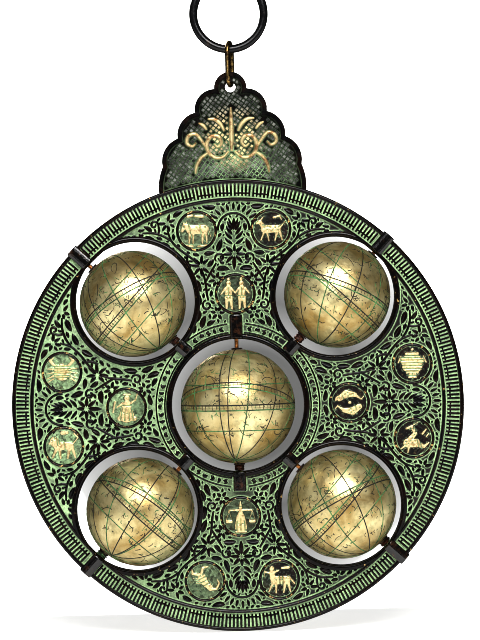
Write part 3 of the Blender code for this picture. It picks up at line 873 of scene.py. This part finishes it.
LION = dict(
    limbs=[(-4, 0.4, 3.4, 4.4, 0.6, 2.9), (-6, 3, 3.6, -6.4, 4, 3.6), (-8, 3.4, 1.8, -10, 2.4, 1.1),
        (-5, -1, 1.5, -8, -7.6, 0.9), (-3, -1.4, 1.4, -2.4, -8.2, 0.9), (4, -1, 1.6, 2.6, -8.2, 0.9),
        (5.8, -0.4, 1.6, 8.2, -7.8, 0.9), (6.6, 2, 0.8, 10.2, 6.2, 0.6), (10.2, 6.2, 0.8, 7.4, 9.2, 0.9),
        (-1, 9.6, 1.6, 2.6, 9.8, 1.3)],
    lines=[(-3.6, 6.2, -2.6, 1.2), (-5, 7, -4.2, 0.4), (-6.6, 7.4, -6.2, 5.2), (0, 3.2, 1, -2)],
    dots=[(-8.2, 4.4)])
ROBED = dict(
    limbs=[(0.4, 6.8, 2.1, 0.4, 7, 2.1), (0.4, 3.6, 2.4, 0.2, 0.6, 2.9), (0, -1, 4.2, 0, -5, 5.6),
        (-5, -7.4, 2.0, 5.4, -7.6, 2.0), (-2.6, 3.4, 1.1, -6.6, 0.6, 0.8), (3.2, 3.4, 1.1, 6.4, 5.4, 0.8),
        (6.4, 5.4, 0.7, 7.8, 9.4, 0.9), (-9.6, -3, 0.9, -8, 4.4, 0.9), (-1.6, 9.4, 0.9, 2.6, 9.4, 0.9)],
    lines=[(-3, 0.2, -4.4, -8.4), (-1, -0.6, -1.6, -9), (1.4, -0.6, 2, -9), (3.2, 0, 4.6, -8.4),
        (-2.4, 1.6, 3, 1.6)],
    dots=[(-2, -3), (0.4, -4), (3, -3)])
JAR = dict(
    limbs=[(-5, 2, 3.6, 5, 2, 3.6), (-4, -2, 3.6, 4, -2, 3.6), (-2.6, -6, 2.2, 2.6, -6, 2.2),
        (-4, 7, 1.2, 4, 7, 1.2), (-2.4, -9.4, 1.0, 2.4, -9.4, 1.0), (-8, 5, 0.8, -9.8, 1, 0.8),
        (8, 5, 0.8, 9.8, 1, 0.8), (0, 10, 1.1, 0.4, 10.2, 1.1)],
    lines=[(-8, y, 8, y) for y in (4.4, 2.6, 0.6, -1.4, -3.4)] + [(-4, -5.2, 4, -5.2)],
    dots=[(-3, -7), (0, -7), (3, -7)])
FISH = dict(
    limbs=[(-7, 3, 2.2, -2, 6.2, 3.0), (-2, 6.2, 3.0, 4, 5.4, 1.8), (4, 5.4, 1.4, 8.4, 2.2, 0.7),
        (8.4, 2.2, 0.8, 10.4, 4.4, 0.5), (7, -3, 2.2, 2, -6.2, 3.0), (2, -6.2, 3.0, -4, -5.4, 1.8),
        (-4, -5.4, 1.4, -8.4, -2.2, 0.7), (-8.4, -2.2, 0.8, -10.4, -4.4, 0.5),
        (-8.6, 3.4, 1.4, -9.8, 1.6, 0.8), (0, 0, 1.2, 0.4, 0, 1.2)],
    lines=[(-5, 5, -3.8, 2.4), (5, -5, 3.8, -2.4)],
    dots=[(-7.4, 3.6), (-3, 6), (-1.2, 7), (0.4, 5.4), (-0.8, 4.6), (2.4, 5.8), (7.4, -3.6), (3, -6),
        (1.2, -7), (-0.4, -5.4), (0.8, -4.6)])
SEA_GOAT = dict(
    limbs=[(-4.6, -3.4, 3.4, 1.4, -3.6, 3.2), (1.4, -3.6, 3.0, 6.8, -6.2, 1.4),
        (6.8, -6.2, 1.4, 10.4, -3.4, 0.7), (-3, -1, 2.2, 1, 3.4, 1.6), (1, 3.4, 1.5, -1.6, 8, 1.3),
        (-1.6, 8, 1.5, -5.2, 7, 0.9), (-0.8, 9, 0.6, 3, 11, 0.4), (-6, -5, 1.2, -9.6, -7.4, 0.7),
        (-3.8, -6, 1.2, -4.6, -10, 0.7), (6, 3, 1.0, 8.6, 6, 0.8), (8.8, 1, 0.8, 10.4, 3, 0.7)],
    lines=[(2.2, -1.4, 3.2, -6), (4.4, -2.6, 5, -6.6), (-2.6, 7.4, -1.4, 6.8)],
    dots=[(-5.8, -2.2), (-4, -3.8), (-2.6, -1.8), (-1, -3.6), (0.6, -2), (-6.2, -4.4), (0.4, 2.4), (1.2, 4.6),
        (0, 6.6), (-1.2, 0)])
SCALES = dict(
    limbs=[(-8, 4.6, 0.8, 8, 4.6, 0.8), (0, 4.6, 1.4, 0, 10.2, 0.8), (0, 4.4, 1.3, 0, -1, 3.4),
        (0, -1, 3.4, 0, -7, 4.6), (-8.4, 4, 0.45, -10.2, -2.4, 0.45), (-8.2, 4, 0.45, -6.2, -2.4, 0.45),
        (8.4, 4, 0.45, 10.2, -2.4, 0.45), (8.2, 4, 0.45, 6.2, -2.4, 0.45), (-9.6, -3.4, 1.3, -6.8, -3.4, 1.3),
        (9.6, -3.4, 1.3, 6.8, -3.4, 1.3), (-3.4, -10.6, 1.0, 3.4, -10.6, 1.0)],
    lines=[(-2.6, -3, -3, -10), (0, -1, 0, -10), (2.6, -3, 3, -10)],
    dots=[(-1.4, -5), (1.4, -5), (0, 7)])
SCORPION = dict(
    limbs=[(-2, 2.4, 3.2, 0.6, -2, 2.6), (0.6, -2, 2.2, 3.6, -5.8, 1.5), (3.6, -5.8, 1.4, 8, -5.6, 1.1),
        (8, -5.6, 1.1, 10, -1.6, 0.9), (10, -1.6, 0.9, 8.4, 1.4, 0.4), (-4, 4.6, 1.2, -8.6, 5.4, 1.1),
        (-8.6, 5.4, 1.2, -9.2, 8.8, 0.6), (-2.4, 5.4, 1.2, -1.4, 9.4, 1.1), (-1.4, 9.4, 1.2, 2.4, 10.2, 0.6)]
        + [(-1 + i, 1 - 1.6 * i, 0.7, s * 6.4 - 2 + i, -1.6 * i - 2 * s, 0.45) for i in range(3) for s in
        (-1, 1)],
    lines=[(-4.4, 1, 1, 3.4), (-3, -1, 2, 1), (-1.4, -3.4, 3, -1.4)],
    dots=[(-3.2, 3.8), (-1.6, 4.6)])
HORSE = dict(
    limbs=[(-3.4, -0.6, 3.2, 4.6, -0.4, 3.1), (-4.6, 1, 2.4, -5.4, 5.4, 1.9), (-5.4, 7.8, 1.8, -5.2, 8, 1.8),
        (-6.6, 4.6, 1.0, -10.4, 5.6, 0.7), (-4, 4.8, 1.0, -0.6, 6.4, 0.8), (-4.6, -2, 1.3, -7.6, -8.6, 0.8),
        (-2.4, -2.4, 1.3, -2.6, -9.4, 0.8), (4, -2, 1.5, 2.8, -9.2, 0.8), (6, -1.4, 1.5, 7.6, -8.8, 0.8),
        (7.2, 1.4, 0.9, 10.6, -3, 0.8), (-10.4, 2, 0.5, -10.6, 9, 0.5), (2, 8, 1.0, 6.6, 8.4, 1.2)],
    lines=[(0, 2.2, 0.4, -3), (2.2, 2.2, 2.4, -3), (0, -0.2, 2.4, -0.2)],
    dots=[(-2.6, 0), (5, 0.8)])
# In the order of medallion_places: the outer eight from the right, two by two, then the inner four
PICTURES = (SEA_GOAT, JAR, GOAT, BULL, CRAB, LION, SCORPION, HORSE, FISH, PAIR, ROBED, SCALES)


def capsule_depth(points, limbs):
    """How deep each point lies inside the nearest limb, in millimetres."""
    best = np.full(len(points), -9.0)
    for x, y, r, x2, y2, r2 in limbs:
        start, run = np.array([x, y]), np.array([x2 - x, y2 - y])
        share = np.clip((points - start) @ run / max(run @ run, 1e-6), 0, 1)
        away = np.linalg.norm(points - start - share[:, None] * run, axis=1)
        best = np.maximum(best, r + (r2 - r) * share - away)
    return best


PICTURE_SCALE = 1.13


def picture_height(points, picture):
    points = points / PICTURE_SCALE
    depth = capsule_depth(points, picture["limbs"])
    height = np.clip(depth / 0.7, 0, 1) ** 0.6 * 0.85 + np.clip(depth / 3.0, 0, 1) * 0.35
    cuts = [(x, y, 0.55, x2, y2, 0.55) for x, y, x2, y2 in picture["lines"]]
    cuts += [(x, y, 0.75, x, y, 0.75) for x, y in picture["dots"]]
    carved = np.clip(capsule_depth(points, cuts) / 0.35, 0, 1) * 0.85
    return FLOOR_OF_MEDALLION + 0.05 + np.maximum(height - carved, 0)


def build_pictures(random):
    """The pictures as embossed discs whose edges lie under the medallions' rims."""
    piece = Piece("medallion_pictures")
    cell = 0.42
    steps = np.arange(-34, 35) * cell
    x, y = np.meshgrid(steps, steps, indexing="ij")
    flat = np.stack([x, y], -1).reshape(-1, 2)
    inside = (np.linalg.norm(flat, axis=1) < MEDALLION_BORE + 0.35).reshape(x.shape)
    full = inside[:-1, :-1] & inside[1:, :-1] & inside[1:, 1:] & inside[:-1, 1:]
    number = np.arange(x.size).reshape(x.shape)
    quads = np.stack([number[:-1, :-1], number[1:, :-1], number[1:, 1:], number[:-1, 1:]], -1)[full]
    used, quads = np.unique(quads, return_inverse=True)
    quads = quads.reshape(-1, 4)
    flat = flat[used]
    ends = np.stack([quads, np.roll(quads, -1, 1)], -1).reshape(-1, 2)
    keys = {tuple(pair) for pair in ends.tolist()}
    border = {a: b for a, b in keys if (b, a) not in keys}
    first = next(iter(sorted(border)))
    loop = [first]
    while border[loop[-1]] != first:
        loop.append(border[loop[-1]])
    for place, picture in zip(medallion_places(), PICTURES):
        height = picture_height(flat, picture)
        ripple = np.sin(flat @ random.uniform(-2.2, 2.2, (2, 6)) + random.uniform(0, 6, 6)).sum(1)
        height = height + 0.03 * ripple
        top = on_plate(flat + place, height)
        foot = on_plate(flat[loop] + place, GROUND - 0.3)
        skirt = len(flat) + np.arange(len(loop))
        ring = np.array(loop)
        sides = np.stack([np.roll(ring, -1), ring, skirt, np.roll(skirt, -1)], 1)
        underside = tuple(reversed(skirt.tolist()))
        piece.add(np.concatenate([top, foot]), np.concatenate([quads, sides]), [underside])
    return piece


# The throne


FLOURISH = (  # the least and further half width of each scroll on the right-hand side, and its points
    (0.35, 1.5, [(0, 203), (0, 213), (0, 224), (0, 238)]),
    (0.4, 1.1, [(2.6, 203), (7, 198.5), (13, 198), (18.5, 202), (20, 209), (16.5, 215), (10.5, 215), (8, 210),
                (11, 206.6), (14, 209)]),
    (0.4, 1.0, [(19.6, 205), (24, 212), (29, 217.4), (34.6, 215.6), (35.6, 210), (31.4, 207.4),
                (28.4, 210.4)]),
    (0.3, 1.25, [(5.4, 219), (8.6, 225), (13.2, 228.6), (18.6, 229)]),
    (0.35, 1.05, [(19, 202), (24.6, 198), (28.4, 191.6), (29.4, 185.4)]),
    (0.3, 1.0, [(19.6, 220.4), (22.4, 224), (26, 226)]),
)
FLOURISH_STEPS = 22


def build_flourish():
    """A gilt arabesque of scrolls and leaves, the same on both sides, and the points of its lines."""
    piece = Piece("throne_flourish")
    swell = np.sin(np.linspace(0.25, math.pi - 0.12, FLOURISH_STEPS)) ** 0.7
    lines = []
    for index, (least, further, points) in enumerate(FLOURISH):
        line = smooth_path(points, FLOURISH_STEPS)
        for side in (1, -1) if index else (1,):
            ridge(piece, line * (side, 1), 1.12 * (least + further * swell), 1.7, ROUND, FIELD)
        lines += [line, line * (-1, 1)]
    return piece, np.concatenate(lines)


def build_studs(flourish, random):
    """Cut diamonds over the throne's field, which a ray finds between its border and its hole."""
    node = frame["nodes"]["throne"]
    polygons = [tuple(polygon.vertices) for polygon in node.data.polygons]
    tree = BVHTree.FromPolygons([v.co for v in node.data.vertices], polygons)

    def on_field(point):
        start = Vector((point[0] * MM, -0.05, (point[1] + DISC_Z) * MM))
        hit = tree.ray_cast(start, Vector((0, 1, 0)))[0]
        return hit is not None and abs(-hit.y / MM - FIELD) < 0.1

    piece = Piece("throne_diamonds")
    pitch = 3.1
    turn, other = polar(1, 52), polar(1, 142)
    for i in range(-40, 41):
        for k in range(-40, 41):
            centre = np.array([0, 215.0]) + pitch * (i * turn + k * other)
            centre = centre + 0.5 * np.sin(centre[::-1] / 9.0) + random.uniform(-0.09, 0.09, 2)
            if abs(centre[0]) > 58 or not 166 < centre[1] < 266:
                continue
            half, top = 1.38 + random.uniform(-0.05, 0.03), 0.94 + random.uniform(-0.1, 0.08)
            corners = [(1, 1), (-1, 1), (-1, -1), (1, -1)]
            base = [centre + half * (a * turn + b * other) for a, b in corners]
            if not all(on_field(point) for point in base):
                continue
            if np.linalg.norm(flourish - centre, axis=1).min() < 2.3:
                continue
            if np.linalg.norm(base, axis=1).min() < DISC + 0.6:
                continue
            crest = [centre + top * (a * turn + b * other) for a, b in corners]
            height = FIELD + 0.85 + random.uniform(-0.12, 0.12)
            points = np.concatenate([on_plate(base, FIELD - 0.2), on_plate(crest, height)])
            quads = [(3, 2, 1, 0), (4, 5, 6, 7), (0, 1, 5, 4), (1, 2, 6, 5), (2, 3, 7, 6), (3, 0, 4, 7)]
            piece.add(points, quads)
    return piece


# The globes and what turns or holds them


def along_axle(site, node):
    """Where a CAD node starts and ends along its site's axle, and its reach from the axle and the centre."""
    centre, axis = AXLES[site]
    offset = np.array([v.co for v in frame["nodes"][node].data.vertices]) / MM - centre
    place = offset @ axis
    radius = np.linalg.norm(offset - place[:, None] * axis, axis=1)
    return place.min(), place.max(), radius.max(), np.linalg.norm(offset, axis=1).max()


def globe_ends(site):
    return (("top", 1), ("bottom", -1)) if site == "centre" else (("rim", 1), ("hub", -1))


def build_shell(site, end, sign, finish):
    """Half a globe's wall, from a fine groove at the seam to the hole at the pole."""
    centre, axis = AXLES[site]
    size = along_axle(site, f"globe_{site}_{end}_half")[3]
    wall, bore, seam = 1.5, 1.9, 0.05
    outside = [(size - 0.16, seam), (size - 0.04, 0.16)]
    inner = size - wall
    outward = np.linspace(0.009, math.acos(bore / size), 40)
    inward = np.linspace(math.acos(bore / inner), 0.001, 12)
    outside += [(size * math.cos(angle), size * math.sin(angle)) for angle in outward]
    inside = [(inner * math.cos(angle), inner * math.sin(angle)) for angle in inward]
    profile = outside + inside
    if sign < 0:
        profile = [(radius, -place) for radius, place in outside[::-1] + inside[::-1]]
    piece = Piece(f"shell_{site}_{end}")
    lathe(piece, centre, axis, profile, 112)
    piece.make(f"globe_{site}", finish, "globe_brass", [f"globe_{site}_{end}_half"], 30)
    return size


def engrave(piece, centre, size, rays, width, loop=False):
    """A fine line on a globe along directions from its centre, standing a hair over the metal."""
    ahead = np.roll(rays, -1, 0) - np.roll(rays, 1, 0) if loop else np.gradient(rays, axis=0)
    ahead /= np.maximum(np.linalg.norm(ahead, axis=1, keepdims=True), 1e-12)
    left = np.cross(rays, ahead)
    across = ((-0.1, -0.5), (0.14, -0.42), (0.14, 0.42), (-0.1, 0.5))
    points = [centre + rays * (size + lift) + left * side * width for lift, side in across]
    piece.add(np.stack(points, 1), *skin(len(rays), len(across), loop))


def circle_rays(pole, latitude, start=0, stop=360, count=96):
    side, other, along = frame_about(pole)
    angle = np.radians(np.linspace(start, stop, count, endpoint=stop - start < 360))[:, None]
    slope = math.radians(latitude)
    return math.cos(slope) * (np.cos(angle) * side + np.sin(angle) * other) + math.sin(slope) * along


def tilted(axis, tilt, phase):
    side, other, along = frame_about(axis)
    turn = math.radians(phase)
    away = math.cos(turn) * side + math.sin(turn) * other
    return math.cos(math.radians(tilt)) * along + math.sin(math.radians(tilt)) * away


OBLIQUITY = 23.4
STROKE_ROWS = (-50, -38, -30, -17, -11, -7, 7, 12, 18, 30, 37, 52)  # latitudes of the small strokes


def build_engraving(site, size, phase, random):
    """The circles of a celestial globe, with strokes and dots instead of its names and stars."""
    centre, axis = AXLES[site]
    dark, green = Piece(f"engraving_dark_{site}"), Piece(f"engraving_green_{site}")
    ecliptic = tilted(axis, OBLIQUITY, phase)
    for pole in (axis, ecliptic):
        engrave(dark, centre, size, circle_rays(pole, 2.6), 1.05, True)
        engrave(green, centre, size, circle_rays(pole, -2.6), 1.05, True)
        for step in range(90):
            ends = []
            for latitude in (-1.9, 0, 1.9):
                start = step * 4 + random.uniform(-0.4, 0.4)
                ends.append(circle_rays(pole, latitude, start, step * 4 + 2, 2)[0])
            engrave(dark if step % 3 else green, centre, size, np.array(ends), 0.4)
    for latitude in (-OBLIQUITY, OBLIQUITY, -66.6, 66.6):
        engrave(green, centre, size, circle_rays(axis, latitude), 0.9, True)
    for step in range(6):
        pole = tilted(ecliptic, 90, step * 30 + phase / 2)
        engrave(green if step % 2 else dark, centre, size, circle_rays(pole, 0), 0.95, True)
    engrave(dark, centre, size, circle_rays(tilted(axis, 90, phase + 90), 0), 0.9, True)
    for _ in range(640):
        row = random.choice(STROKE_ROWS) + random.uniform(-1.6, 1.6)
        start = random.uniform(0, 360)
        middle = circle_rays(ecliptic, row, start, start + 1, 2)[0]
        tangent = np.cross(middle, random.normal(size=3))
        tangent /= np.linalg.norm(tangent)
        across = np.cross(middle, tangent)
        drawn = random.random() < 0.12
        length = random.uniform(*((3.0, 6.5) if drawn else (0.4, 2.4))) / size
        bend = random.uniform(-0.8, 0.8)
        t = np.linspace(-1, 1, 8 if drawn else 4)[:, None]
        rays = middle + tangent * t * length + across * bend * length * (t**2)
        rays /= np.linalg.norm(rays, axis=1, keepdims=True)
        engrave(green if random.random() < 0.3 else dark, centre, size, rays, random.uniform(0.36, 0.62))
    dark.make(f"globe_{site}", FINISHES["engraved_dark"], "globe_brass")
    green.make(f"globe_{site}", FINISHES["engraved_green"], "globe_brass")


def build_washers(site):
    centre, axis = AXLES[site]
    for end, _ in globe_ends(site):
        name = f"washer_{site}_{end}"
        low, high, radius, _ = along_axle(site, name)
        profile = [(radius - 0.25, low), (radius, low + 0.25), (radius, high - 0.25), (radius - 0.25, high)]
        profile += [(2.7, high), (2.3, high - 0.15), (BORE, high - 0.15), (BORE, low)]
        piece = Piece(f"turned_washer_{site}_{end}")
        lathe(piece, centre, axis, profile, 40)
        piece.make(f"globe_{site}", FINISHES["washer"], "washer_dark", [name])


COLLARS = {  # shares of the greatest radius at equal steps along the collar
    "plain": (0.84, 0.9, 0.98, 1, 1, 0.93, 0.93, 1, 1, 0.98, 0.9, 0.84),
    "ribbed": (0.74, 0.8, 0.94, 1, 0.98, 0.88, 0.84, 0.86, 0.95, 1, 0.96, 0.84, 0.78),
    "barrel": (0.7, 0.78, 0.9, 0.96, 1, 0.95, 1, 1, 0.96, 0.9, 0.78, 0.7),
}


def build_collar(site):
    centre, axis = AXLES[site]
    low, high, radius, _ = along_axle(site, f"collar_{site}")
    style = {"lower_left": "ribbed", "lower_right": "barrel"}.get(site, "plain")
    shares = COLLARS[style]
    places = np.linspace(low, high, len(shares))
    profile = [(radius * share, place) for share, place in zip(shares, places)] + [(BORE, high), (BORE, low)]
    piece = Piece(f"turned_collar_{site}")
    lathe(piece, centre, axis, profile, 48)
    finish = FINISHES["collar_green" if site == "lower_left" else "collar"]
    piece.make("plate", finish, "collar_brown", [f"collar_{site}"])


def build_axle(site, random):
    centre, axis = AXLES[site]
    low, high, radius, _ = along_axle(site, f"axle_{site}")
    places = np.linspace(low, high, 40)
    wear = radius * (1 - 0.03 * random.random(len(places)))
    wear[[0, -1]] = radius * 0.8
    profile = list(zip(wear, places)) + [(0.02, high), (0.02, low)]
    piece = Piece(f"rod_{site}")
    lathe(piece, centre, axis, profile, 24)
    piece.make("plate", FINISHES["rod"], "axle_copper", [f"axle_{site}"])


def build_suspension():
    low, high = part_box("suspension_ring")
    wire_radius = (high.y - low.y) / 2 / MM
    radius = (high.x - low.x) / 2 / MM - wire_radius
    middle = (high.z + low.z) / 2 / MM
    angles = np.arange(128) * 2 * math.pi / 128
    ring = Piece("hanging_ring")
    path = np.stack([radius * np.cos(angles), 0 * angles, middle + radius * np.sin(angles)], 1)
    wire(ring, path, wire_radius * (1 + 0.01 * np.sin(angles * 5)), 28)
    ring.make("ring", FINISHES["ring"], "ring_black", ["suspension_ring"])

    low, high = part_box("shackle_link")
    bend, link_wire, twist = 8.5, 1.8, math.radians(12)
    top, bottom = high.z / MM - link_wire - bend, low.z / MM + link_wire + bend
    half = np.linspace(0, math.pi, 25)
    round_top = np.stack([bend * np.cos(half), top + bend * np.sin(half)], 1)
    round_bottom = np.stack([-bend * np.cos(half), bottom - bend * np.sin(half)], 1)
    down = np.stack([np.full(8, -bend), np.linspace(top, bottom, 10)[1:-1]], 1)
    up = np.stack([np.full(8, bend), np.linspace(bottom, top, 10)[1:-1]], 1)
    flat = np.concatenate([round_top, down, round_bottom, up])
    path = np.stack([flat[:, 0] * math.sin(twist), flat[:, 0] * math.cos(twist), flat[:, 1]], 1)
    link = Piece("hanging_link")
    wire(link, path, link_wire, 24)
    link.make("link", FINISHES["link"], "link_brass", ["shackle_link"])


def finish_node(name, material):
    """Gives a CAD node that is shown its finish."""
    node = frame["nodes"][name]
    node.data.materials.clear()
    node.data.materials.append(material)


# The light, the floor and the camera


def plain_finish(name, colour, roughness, glow):
    made = Finish(name, Roughness=roughness, Emission_Strength=glow)
    base = made.mix(made.noise(900, 2), colour, tuple(0.985 * part for part in colour))
    made.shader.inputs["Emission Color"].default_value = (*colour, 1)
    made.set("Base Color", base)
    return made, base


def wall_finish(colour):
    """A white wall with the painted shade, clear from behind, so that it doesn't hide the back."""
    made, base = plain_finish("wall_white", colour, 0.9, 1.1)
    shade = made.ramp(made.times(made.away(SHADE_PLACE), 1 / SHADE_REACH), *SHADE)
    made.set("Base Color", made.mix(shade, (0.0, 0.0, 0.0), base))
    made.set("Emission Color", made.mix(shade, (0.0, 0.0, 0.0), colour))
    links = made.tree.links
    clear = made.tree.nodes.new("ShaderNodeBsdfTransparent")
    blend = made.tree.nodes.new("ShaderNodeMixShader")
    links.new(made.tree.nodes.new("ShaderNodeNewGeometry").outputs["Backfacing"], blend.inputs[0])
    links.new(made.shader.outputs[0], blend.inputs[1])
    links.new(clear.outputs[0], blend.inputs[2])
    links.new(blend.outputs[0], made.tree.nodes["Material Output"].inputs[0])
    return made


def stage_object(name, mesh, material):
    mesh.materials.append(material)
    obj = bpy.data.objects.new(name, mesh)
    bpy.context.scene.collection.objects.link(obj)
    return obj


# A grey shade painted on the wall behind the openings of the plate at rest. It stays where it is
# when the plate swings. Its stops are shares of the reach, from the middle outwards.
WALL_PLACE = 0.8
SHADE_PLACE = (0.012, WALL_PLACE, DISC_Z * MM - 0.0247)
SHADE_REACH = 0.2727
SHADE = (
    (0.22, (0.12, 0.125, 0.085)), (0.31, (0.27, 0.275, 0.215)), (0.42, (0.14, 0.14, 0.10)),
    (0.56, (0.24, 0.24, 0.195)), (0.68, (0.36, 0.36, 0.31)), (0.75, (0.48, 0.48, 0.43)),
    (0.80, (1.0, 1.0, 1.0)),
)
FLOOR_TOP = CAD_LOW.z - 0.0015
FLOOR_BACK = 0.155
FLOOR_SIZE = (3.2, 1.16, 0.03)


def build_stage():
    bm = bmesh.new()
    bmesh.ops.create_cube(bm, size=1)
    bmesh.ops.scale(bm, vec=FLOOR_SIZE, verts=bm.verts)
    middle = (0, FLOOR_BACK - FLOOR_SIZE[1] / 2, FLOOR_TOP - FLOOR_SIZE[2] / 2)
    bmesh.ops.translate(bm, vec=middle, verts=bm.verts)
    bmesh.ops.bevel(bm, geom=bm.edges[:], offset=0.003, segments=3, profile=0.5, affect="EDGES")
    floor = bpy.data.meshes.new("floor")
    bm.to_mesh(floor)
    bm.free()
    stage_object("floor", floor, plain_finish("floor_white", (0.86, 0.86, 0.85), 0.55, 0.78)[0].material)

    wall = bpy.data.meshes.new("wall")
    corners = [(-3, WALL_PLACE, -1.6), (3, WALL_PLACE, -1.6), (3, WALL_PLACE, 2.2), (-3, WALL_PLACE, 2.2)]
    wall.from_pydata(corners, [], [(0, 1, 2, 3)])
    backdrop = stage_object("wall", wall, wall_finish((0.90, 0.90, 0.885)).material)
    backdrop.visible_glossy = backdrop.visible_diffuse = False


def add_light(name, place, target, size, power):
    data = bpy.data.lights.new(name, "AREA")
    data.shape = "RECTANGLE"
    data.size, data.size_y = size
    data.energy = power
    obj = bpy.data.objects.new(name, data)
    obj.location = place
    obj.rotation_euler = (Vector(target) - Vector(place)).to_track_quat("-Z", "Y").to_euler()
    obj.visible_camera = False
    bpy.context.scene.collection.objects.link(obj)


def build_light():
    middle = (0, 0, DISC_Z * MM)
    add_light("key", (0.10, -1.25, 0.66), middle, (1.05, 0.7), 33)
    add_light("left_fill", (-1.3, -1.1, 0.1), middle, (0.5, 1.0), 0.7)
    add_light("back_fill", (-0.9, 1.6, 0.9), middle, (1.2, 0.8), 30)
    add_light("right_fill", (1.4, -0.9, -0.1), middle, (0.4, 1.0), 0.5)
    world = bpy.data.worlds.new("studio")
    world.use_nodes = True
    tree = world.node_tree
    seen = tree.nodes.new("ShaderNodeLightPath").outputs["Is Camera Ray"]
    shade = tree.nodes.new("ShaderNodeMix")
    shade.data_type = "RGBA"
    tree.links.new(seen, shade.inputs[0])
    shade.inputs[6].default_value = (0.02, 0.02, 0.02, 1)
    shade.inputs[7].default_value = (0.93, 0.93, 0.92, 1)
    tree.links.new(shade.outputs[2], tree.nodes["Background"].inputs[0])
    bpy.context.scene.world = world
    look = bpy.context.scene.view_settings
    look.view_transform, look.exposure, look.gamma = "Standard", 0.3, 0.78
    bpy.context.scene.cycles.filter_width = 0.9


def build_camera():
    """Level, in front of the plate, with a slight roll, so that the hanging plate leans."""
    data = bpy.data.cameras.new("camera")
    data.lens = 154.7
    data.sensor_width = 36
    data.clip_end = 50
    camera = bpy.data.objects.new("camera", data)
    lean = math.radians(-1.4)
    across, up = -1.6 * MM, -68.0 * MM
    aim_x = -(across * math.cos(lean) - up * math.sin(lean))
    aim_z = DISC_Z * MM - (across * math.sin(lean) + up * math.cos(lean))
    distance = 2.2
    turn = Matrix.Rotation(math.pi / 2, 4, "X") @ Matrix.Rotation(lean, 4, "Z")
    camera.matrix_world = Matrix.Translation((aim_x, -distance, aim_z)) @ turn
    bpy.context.scene.collection.objects.link(camera)
    bpy.context.scene.camera = camera


random = np.random.default_rng(7)
METALS = {  # name, colour, stain and its share, roughness, metallic, bump, size of the stains
    "ring": ("iron_gloss", (0.010, 0.010, 0.011), (0.05, 0.035, 0.025), 0.15, (0.16, 0.32), 0.6, 0.1, 6),
    "link": ("link_worn", (0.42, 0.29, 0.11), (0.06, 0.035, 0.018), 0.55, (0.22, 0.4), 1.0, 0.12, 3),
    "rod": ("copper_worn", (0.62, 0.27, 0.09), (0.16, 0.06, 0.025), 0.45, (0.28, 0.5), 1.0, 0.12, 3),
    "saddle": ("saddle_gloss", (0.004, 0.0035, 0.0035), (0.05, 0.022, 0.012),
        0.25, (0.08, 0.2), 0.0, 0.07, 5),
    "collar": ("collar_worn", (0.12, 0.042, 0.022), (0.03, 0.016, 0.012), 0.5, (0.3, 0.5), 0.7, 0.2, 2),
    "collar_green": ("collar_patina", (0.03, 0.05, 0.028), (0.16, 0.36, 0.15), 0.4, (0.4, 0.7), 0.3, 0.2, 2),
    "washer": ("washer_worn", (0.02, 0.014, 0.012), (0.12, 0.06, 0.03), 0.35, (0.3, 0.5), 0.7, 0.15, 2),
}
FINISHES = {key: metal_finish(*recipe) for key, recipe in METALS.items()}
ENGRAVED = {"engraved_dark": ((0.010, 0.010, 0.006), (0.03, 0.025, 0.012)),
            "engraved_green": ((0.10, 0.24, 0.085), (0.025, 0.05, 0.02))}
FINISHES.update({key: engraving_finish(key, *colours) for key, colours in ENGRAVED.items()})
finish_node("plate", ground_finish())
finish_node("throne", throne_finish())
for site in GLOBES:
    for end in ("hub", "rim"):
        finish_node(f"saddle_{site}_{end}", FINISHES["saddle"])

relief = relief_finish("relief_black", 0.5, 0.0)
build_mouldings().make("plate", relief_finish("moulding_black", 0.45, 0.07), "plate_bronze")
build_medallion_rims().make("plate", relief_finish("medallion_rim", 0.8, 0.13), "plate_bronze")
build_scale(random).make("plate", relief, "plate_bronze")
build_foliage(random).make("plate", relief, "plate_bronze")
build_hub_band(random).make("plate", relief, "plate_bronze")
build_pictures(random).make("plate", figure_finish(), "plate_bronze", sharp=60)
flourish, flourish_points = build_flourish()
flourish.make("plate", gold_finish(), "throne_bronze")
build_studs(flourish_points, random).make("plate", stud_finish(), "throne_bronze", sharp=20)
for index, (site, phase) in enumerate(zip(GLOBES, (40, 150, 250, 330, 80))):
    shell = globe_finish(f"brass_{site}", index + 1)
    for end, sign in globe_ends(site):
        size = build_shell(site, end, sign, shell)
    build_engraving(site, size, phase, random)
    build_washers(site)
    build_collar(site)
    build_axle(site, random)
build_suspension()
build_stage()
build_light()
build_camera()
